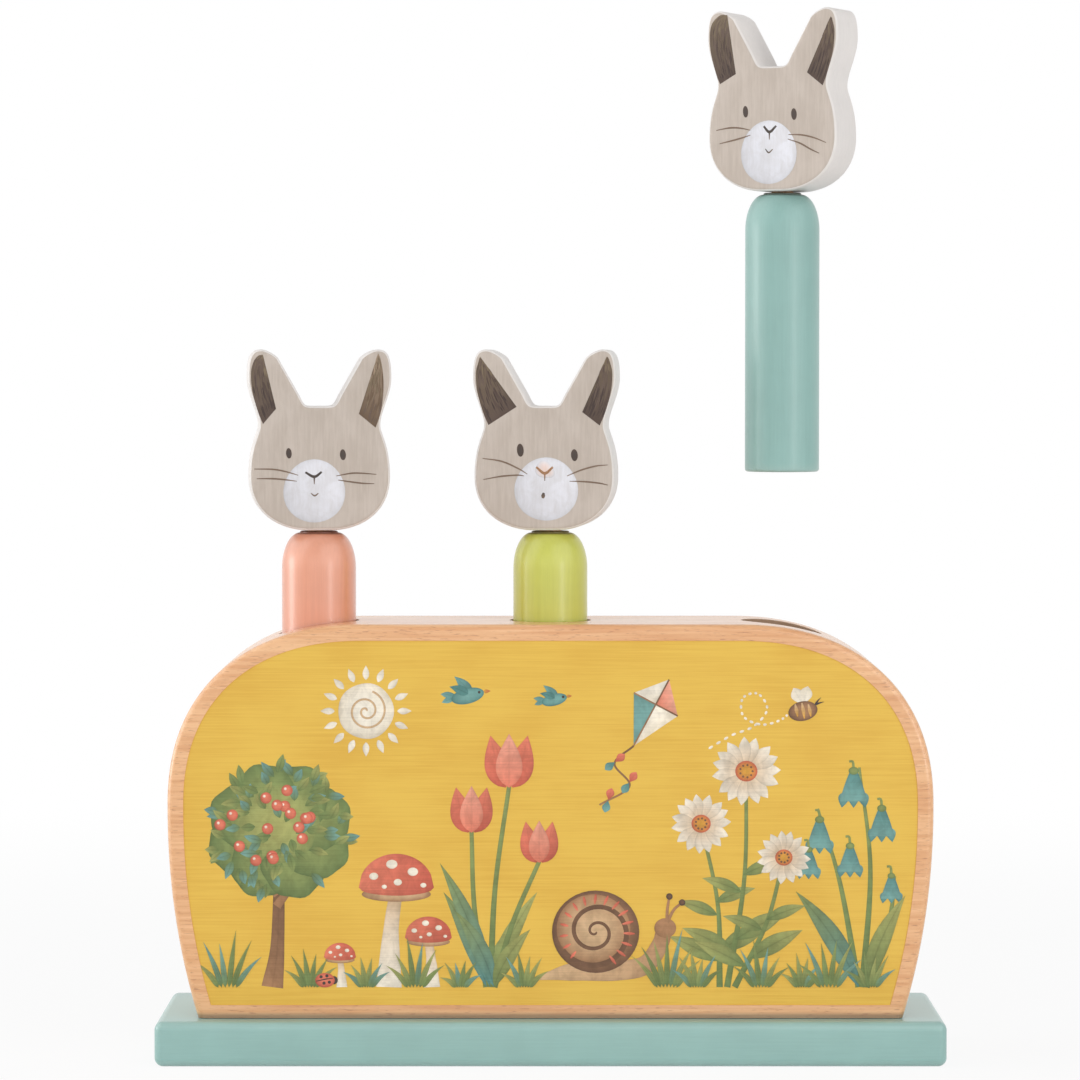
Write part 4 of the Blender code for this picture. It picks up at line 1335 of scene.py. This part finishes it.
def earMark(corner, tip, foot, faded=False):
    # a dark wedge down the outer side of the ear, from its tip to its foot and its corner, brushed
    # along its length; a faded one is warmer, pales towards its tip and stays off the rim there
    steps, tones = earLook["steps"], earLook["fadedTones" if faded else "tones"]
    corner, tip = np.array(corner), np.array(tip)
    across = math.copysign(1.0, foot[0])
    rim = np.array(earLook["fadedRim" if faded else "rim"]) * (across, 1.0)
    bulge = (rim[-1] + tip) / 2 + (0.0, 0.2 * np.linalg.norm(rim[-1] - tip))
    outer = curve([foot, *rim, bulge, tip], steps)
    inner = corner + (tip - corner) * np.linspace(0.0, 1.0, steps)[:, None]
    yield ruled(outer, inner, tones[1], tones[3])
    for _ in range(earLook["strokes"]):
        start, rows = draws.integers(0, 32), draws.integers(4, 10)
        share = draws.uniform(0.05, 0.95)
        rows = slice(start, min(start + rows, steps))
        width = inner[rows] - outer[rows]
        wide = np.linalg.norm(width, axis=1)
        half = np.minimum(draws.uniform(0.08, 0.21), 0.10 * wide)
        half = half * np.sin(np.linspace(0.1, math.pi - 0.1, len(wide)))
        tone = tones[min(int(draws.uniform(0, 1.7) + start / 13), 3)]
        yield stroke(outer[rows] + width * share, half, tone)


def features(shape):
    # the muzzle, the eyes, the whiskers, the nose with the line below it, and the mouth
    x, z, *radii = shape["muzzle"]
    yield blob((x, z), radii, "muzzle", taper=0.05)
    for x, z, *radii in shape["eyes"]:
        yield blob((x, z), radii, "charcoal", "darkEar", turn=4)
    for knots in shape["whiskers"]:
        yield line(knots, faceLines["whisker"], "whisker", rows=20)
    (ink, *nose), (mouthInk, *mouth) = shape["nose"], shape["mouth"]
    x, z = nose[1]
    if ink == "brown":
        yield blob((x, z + 0.9), (2.7, 2.2), "blushPale", "muzzle", 3, 0.09, -30)
    yield line(nose, faceLines["nose"], ink, rows=12)
    yield line([(x, z), (x, z - faceLines["drop"])], faceLines["noseDrop"], ink, "whisker", rows=6)
    yield line(mouth, shape["mouthWidths"], mouthInk, "whisker", rows=12)


def makeFace(side):
    # the features over the marks in the ears
    shape = faces[side]
    parts = shifted(features(shape), 0.0, shape["rise"])
    parts = [*earMark(*shape["ears"][0]), *earMark(*shape["ears"][1]), *parts]
    front, place = -headShape["thickness"] / 2 / mm, standing(side, f"{side}_head")
    printPiece(f"{side}Face", parts, front, (0.01, 0.06), f"{side}_peg", "faceInk", **place)


for side in sides:
    makeFace(side)
print("faces")


# Springs and their caps

springShape = {
    "wire": 1.2 * mm,
    "turns": 9,
    "endPitch": 1.8 * mm,
    "gap": 2.1 * mm,
    "endTaper": 0.6,
    "perTurn": 40,
    "round": 12,
}


def makeSpring(side):
    # a helix whose pitch is small in the first and last turn, with a round wire carried along it
    low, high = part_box(f"{side}_spring")
    shape = springShape
    wire, count, pitch = shape["wire"] / 2, shape["turns"], shape["endPitch"]
    coil = blockShape["holeRadius"] - shape["gap"] - wire
    turns = np.linspace(0.0, count, count * shape["perTurn"] + 1)
    ends = np.minimum(turns, 1.0) + np.maximum(turns - (count - 1), 0.0)
    openPitch = (high.z - low.z - shape["wire"] - 2 * pitch) / (count - 2)
    height = wire + pitch * ends + openPitch * (turns - ends)
    angle = 2.0 * math.pi * turns[:, None]
    around = fullTurn(shape["round"])
    radius = np.full((len(turns), 1), wire)
    radius[[0, -1]] *= shape["endTaper"]
    reach = coil + radius * np.cos(around)
    rise = height[:, None] + radius * np.sin(around)
    rings = joined(reach * np.cos(angle), reach * np.sin(angle), rise)
    x, y = centreOf(f"{side}_peg")
    wound = tubeFaces(len(turns), shape["round"])
    spring = newPiece(f"{side}Spring", rings, wound, "steel", place=(x, y, low.z))
    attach(spring, "housing")
    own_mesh(spring)
    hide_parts(f"{side}_spring")


capShape = {
    "radius": 9.7 * mm,
    "thickness": 3.0 * mm,
    "spigot": 6.5 * mm,
    "ease": 0.5 * mm,
    "brimEase": 0.2 * mm,
    "dimple": (2.2 * mm, 2.6 * mm, 0.4 * mm),
}


def makeCap(side):
    # a lathed disc with a dimple on top and a spigot below
    low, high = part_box(f"{side}_spring_cap")
    radius, thickness, spigot, ease, brimEase, (floor, mouth, deep) = capShape.values()
    height = high.z - low.z
    brim = height - thickness
    profile = [(0.0, height - deep), (floor, height - deep), (mouth, height)]
    profile += arc((radius - ease, height - ease), (ease, ease), 90, 0, 6)
    profile += [(radius, brim + brimEase), (radius - brimEase, brim)]
    profile += [(spigot, brim), (spigot, ease)]
    profile += arc((spigot - ease, ease), (ease, ease), 0, -90, 5) + [(0.0, 0.0)]
    place = (*centreOf(f"{side}_peg"), low.z)
    cap = latheMesh(f"{side}SpringCap", profile, "nylon", 72, place=place)
    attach(cap, f"{side}_cap")
    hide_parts(f"{side}_spring_cap")


for side in sides:
    makeSpring(side)
    makeCap(side)
print("springs and caps")


# CAD pieces that keep their shape and only take a finish

kept = {
    "base_screw": "zinc",
    "seat_screw": "zinc",
    "spring_seat": "beechUpright",
    "neck_pin": "beechUpright",
}
for name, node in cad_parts.items():
    for key, finish in kept.items():
        if key in name:
            for slot in node.material_slots:
                slot.material = finishes[finish]


# Studio

studio = {
    "camera": (-2.8 * mm, -1230.0 * mm, 183.7 * mm),
    "downTilt": 2.10,
    "lens": 151.9,
    "sensor": 36.0,
    "nearest": 0.01,
    "lampTarget": (0.0, 0.0, 0.12),
    "ambient": 0.435,
    "paleGrey": (0.93, 0.94, 0.96),
    "white": (1.0, 1.0, 1.0),
    "floor": (0.86, 0.86, 0.86),
    "floorReach": 3.0,
    "floorDrop": 0.1 * mm,
    "shadowShare": 0.10,
    "shadowFade": (0.25, 0.75),
}
softboxes = {
    "key": {"place": (1.10, -1.20, 0.80), "size": (2.10, 1.70), "power": 13.2},
    "keyStrip": {"place": (0.975, -1.294, 0.18), "size": (0.28, 0.36), "power": 1.9},
    "fill": {"place": (-1.25, -0.10, 0.80), "size": (2.00, 1.65), "power": 12.2},
    "fillStrip": {"place": (-1.25, 0.02, 0.18), "size": (0.44, 0.36), "power": 2.3},
    "front": {"place": (-0.30, -1.80, 0.40), "size": (1.60, 0.80), "power": 2.9},
}


def placed(name, data):
    thing = bpy.data.objects.new(name, data)
    bpy.context.scene.collection.objects.link(thing)
    return thing


def makeCamera():
    data = bpy.data.cameras.new("camera")
    data.lens = studio["lens"]
    data.sensor_width = studio["sensor"]
    data.clip_start = studio["nearest"]
    camera = placed("camera", data)
    camera.location = studio["camera"]
    camera.rotation_euler = (math.radians(90.0 - studio["downTilt"]), 0.0, 0.0)
    bpy.context.scene.camera = camera


def makeSoftboxes():
    for name, box in softboxes.items():
        data = bpy.data.lights.new(name, "AREA")
        data.shape = "RECTANGLE"
        data.size, data.size_y = box["size"]
        data.energy = box["power"]
        lamp = placed(name, data)
        lamp.location = box["place"]
        away = Vector(studio["lampTarget"]) - lamp.location
        lamp.rotation_euler = away.to_track_quat("-Z", "Y").to_euler()


def seenRays(field):
    # 1 for the rays that show the background as it is: straight, mirrored and through glass
    outputs = field.make("ShaderNodeLightPath").socket.node.outputs
    names = ("Is Camera Ray", "Is Glossy Ray", "Is Transmission Ray")
    straight, mirrored, through = (Field(field.tree, outputs[name]) for name in names)
    return field.maths("MAXIMUM", field.maths("MAXIMUM", straight, mirrored), through)


def makeWorld():
    # an even pale grey light, behind a white that only the seen rays meet
    world = bpy.data.worlds.new("studio")
    world.use_nodes = True
    bpy.context.scene.world = world
    tree = world.node_tree
    field = Field(tree)
    kind = "ShaderNodeBackground"
    soft = field.make(kind, None, {"Color": studio["paleGrey"], "Strength": studio["ambient"]})
    white = field.make(kind, None, {"Color": studio["white"], "Strength": 1.0})
    both = field.make("ShaderNodeMixShader", None, {0: seenRays(field), 1: soft, 2: white})
    output = next(node for node in tree.nodes if node.type == "OUTPUT_WORLD")
    tree.links.new(both.socket, output.inputs["Surface"])


def makeFloor():
    # a wide floor that is white to the camera, apart from a share of the shadow that falls on it
    reach, drop = studio["floorReach"], studio["floorDrop"]
    corners = [(x * reach, y * reach, -drop) for x, y in ((-1, -1), (1, -1), (1, 1), (-1, 1))]
    mesh = bpy.data.meshes.new("floor")
    mesh.from_pydata(corners, [], [[0, 1, 2, 3]])
    floor = placed("floor", mesh)
    material = bpy.data.materials.new("floorPaper")
    material.use_nodes = True
    tree = material.node_tree
    field = Field(tree)
    away = field.make("ShaderNodeVectorMath", {"operation": "LENGTH"}, {0: field.place()}, 1)
    near = 1.0 - away.step(*studio["shadowFade"])
    share = seenRays(field) * (1.0 - near * studio["shadowShare"])
    paper = field.make("ShaderNodeBsdfDiffuse", None, {"Color": studio["floor"]})
    white = field.make("ShaderNodeEmission", None, {"Color": studio["white"], "Strength": 1.0})
    both = field.make("ShaderNodeMixShader", None, {0: share, 1: paper, 2: white})
    tree.links.new(both.socket, tree.nodes["Material Output"].inputs["Surface"])
    mesh.materials.append(material)


makeCamera()
makeSoftboxes()
makeWorld()
makeFloor()
bpy.context.scene.view_settings.view_transform = "Standard"
print("studio")
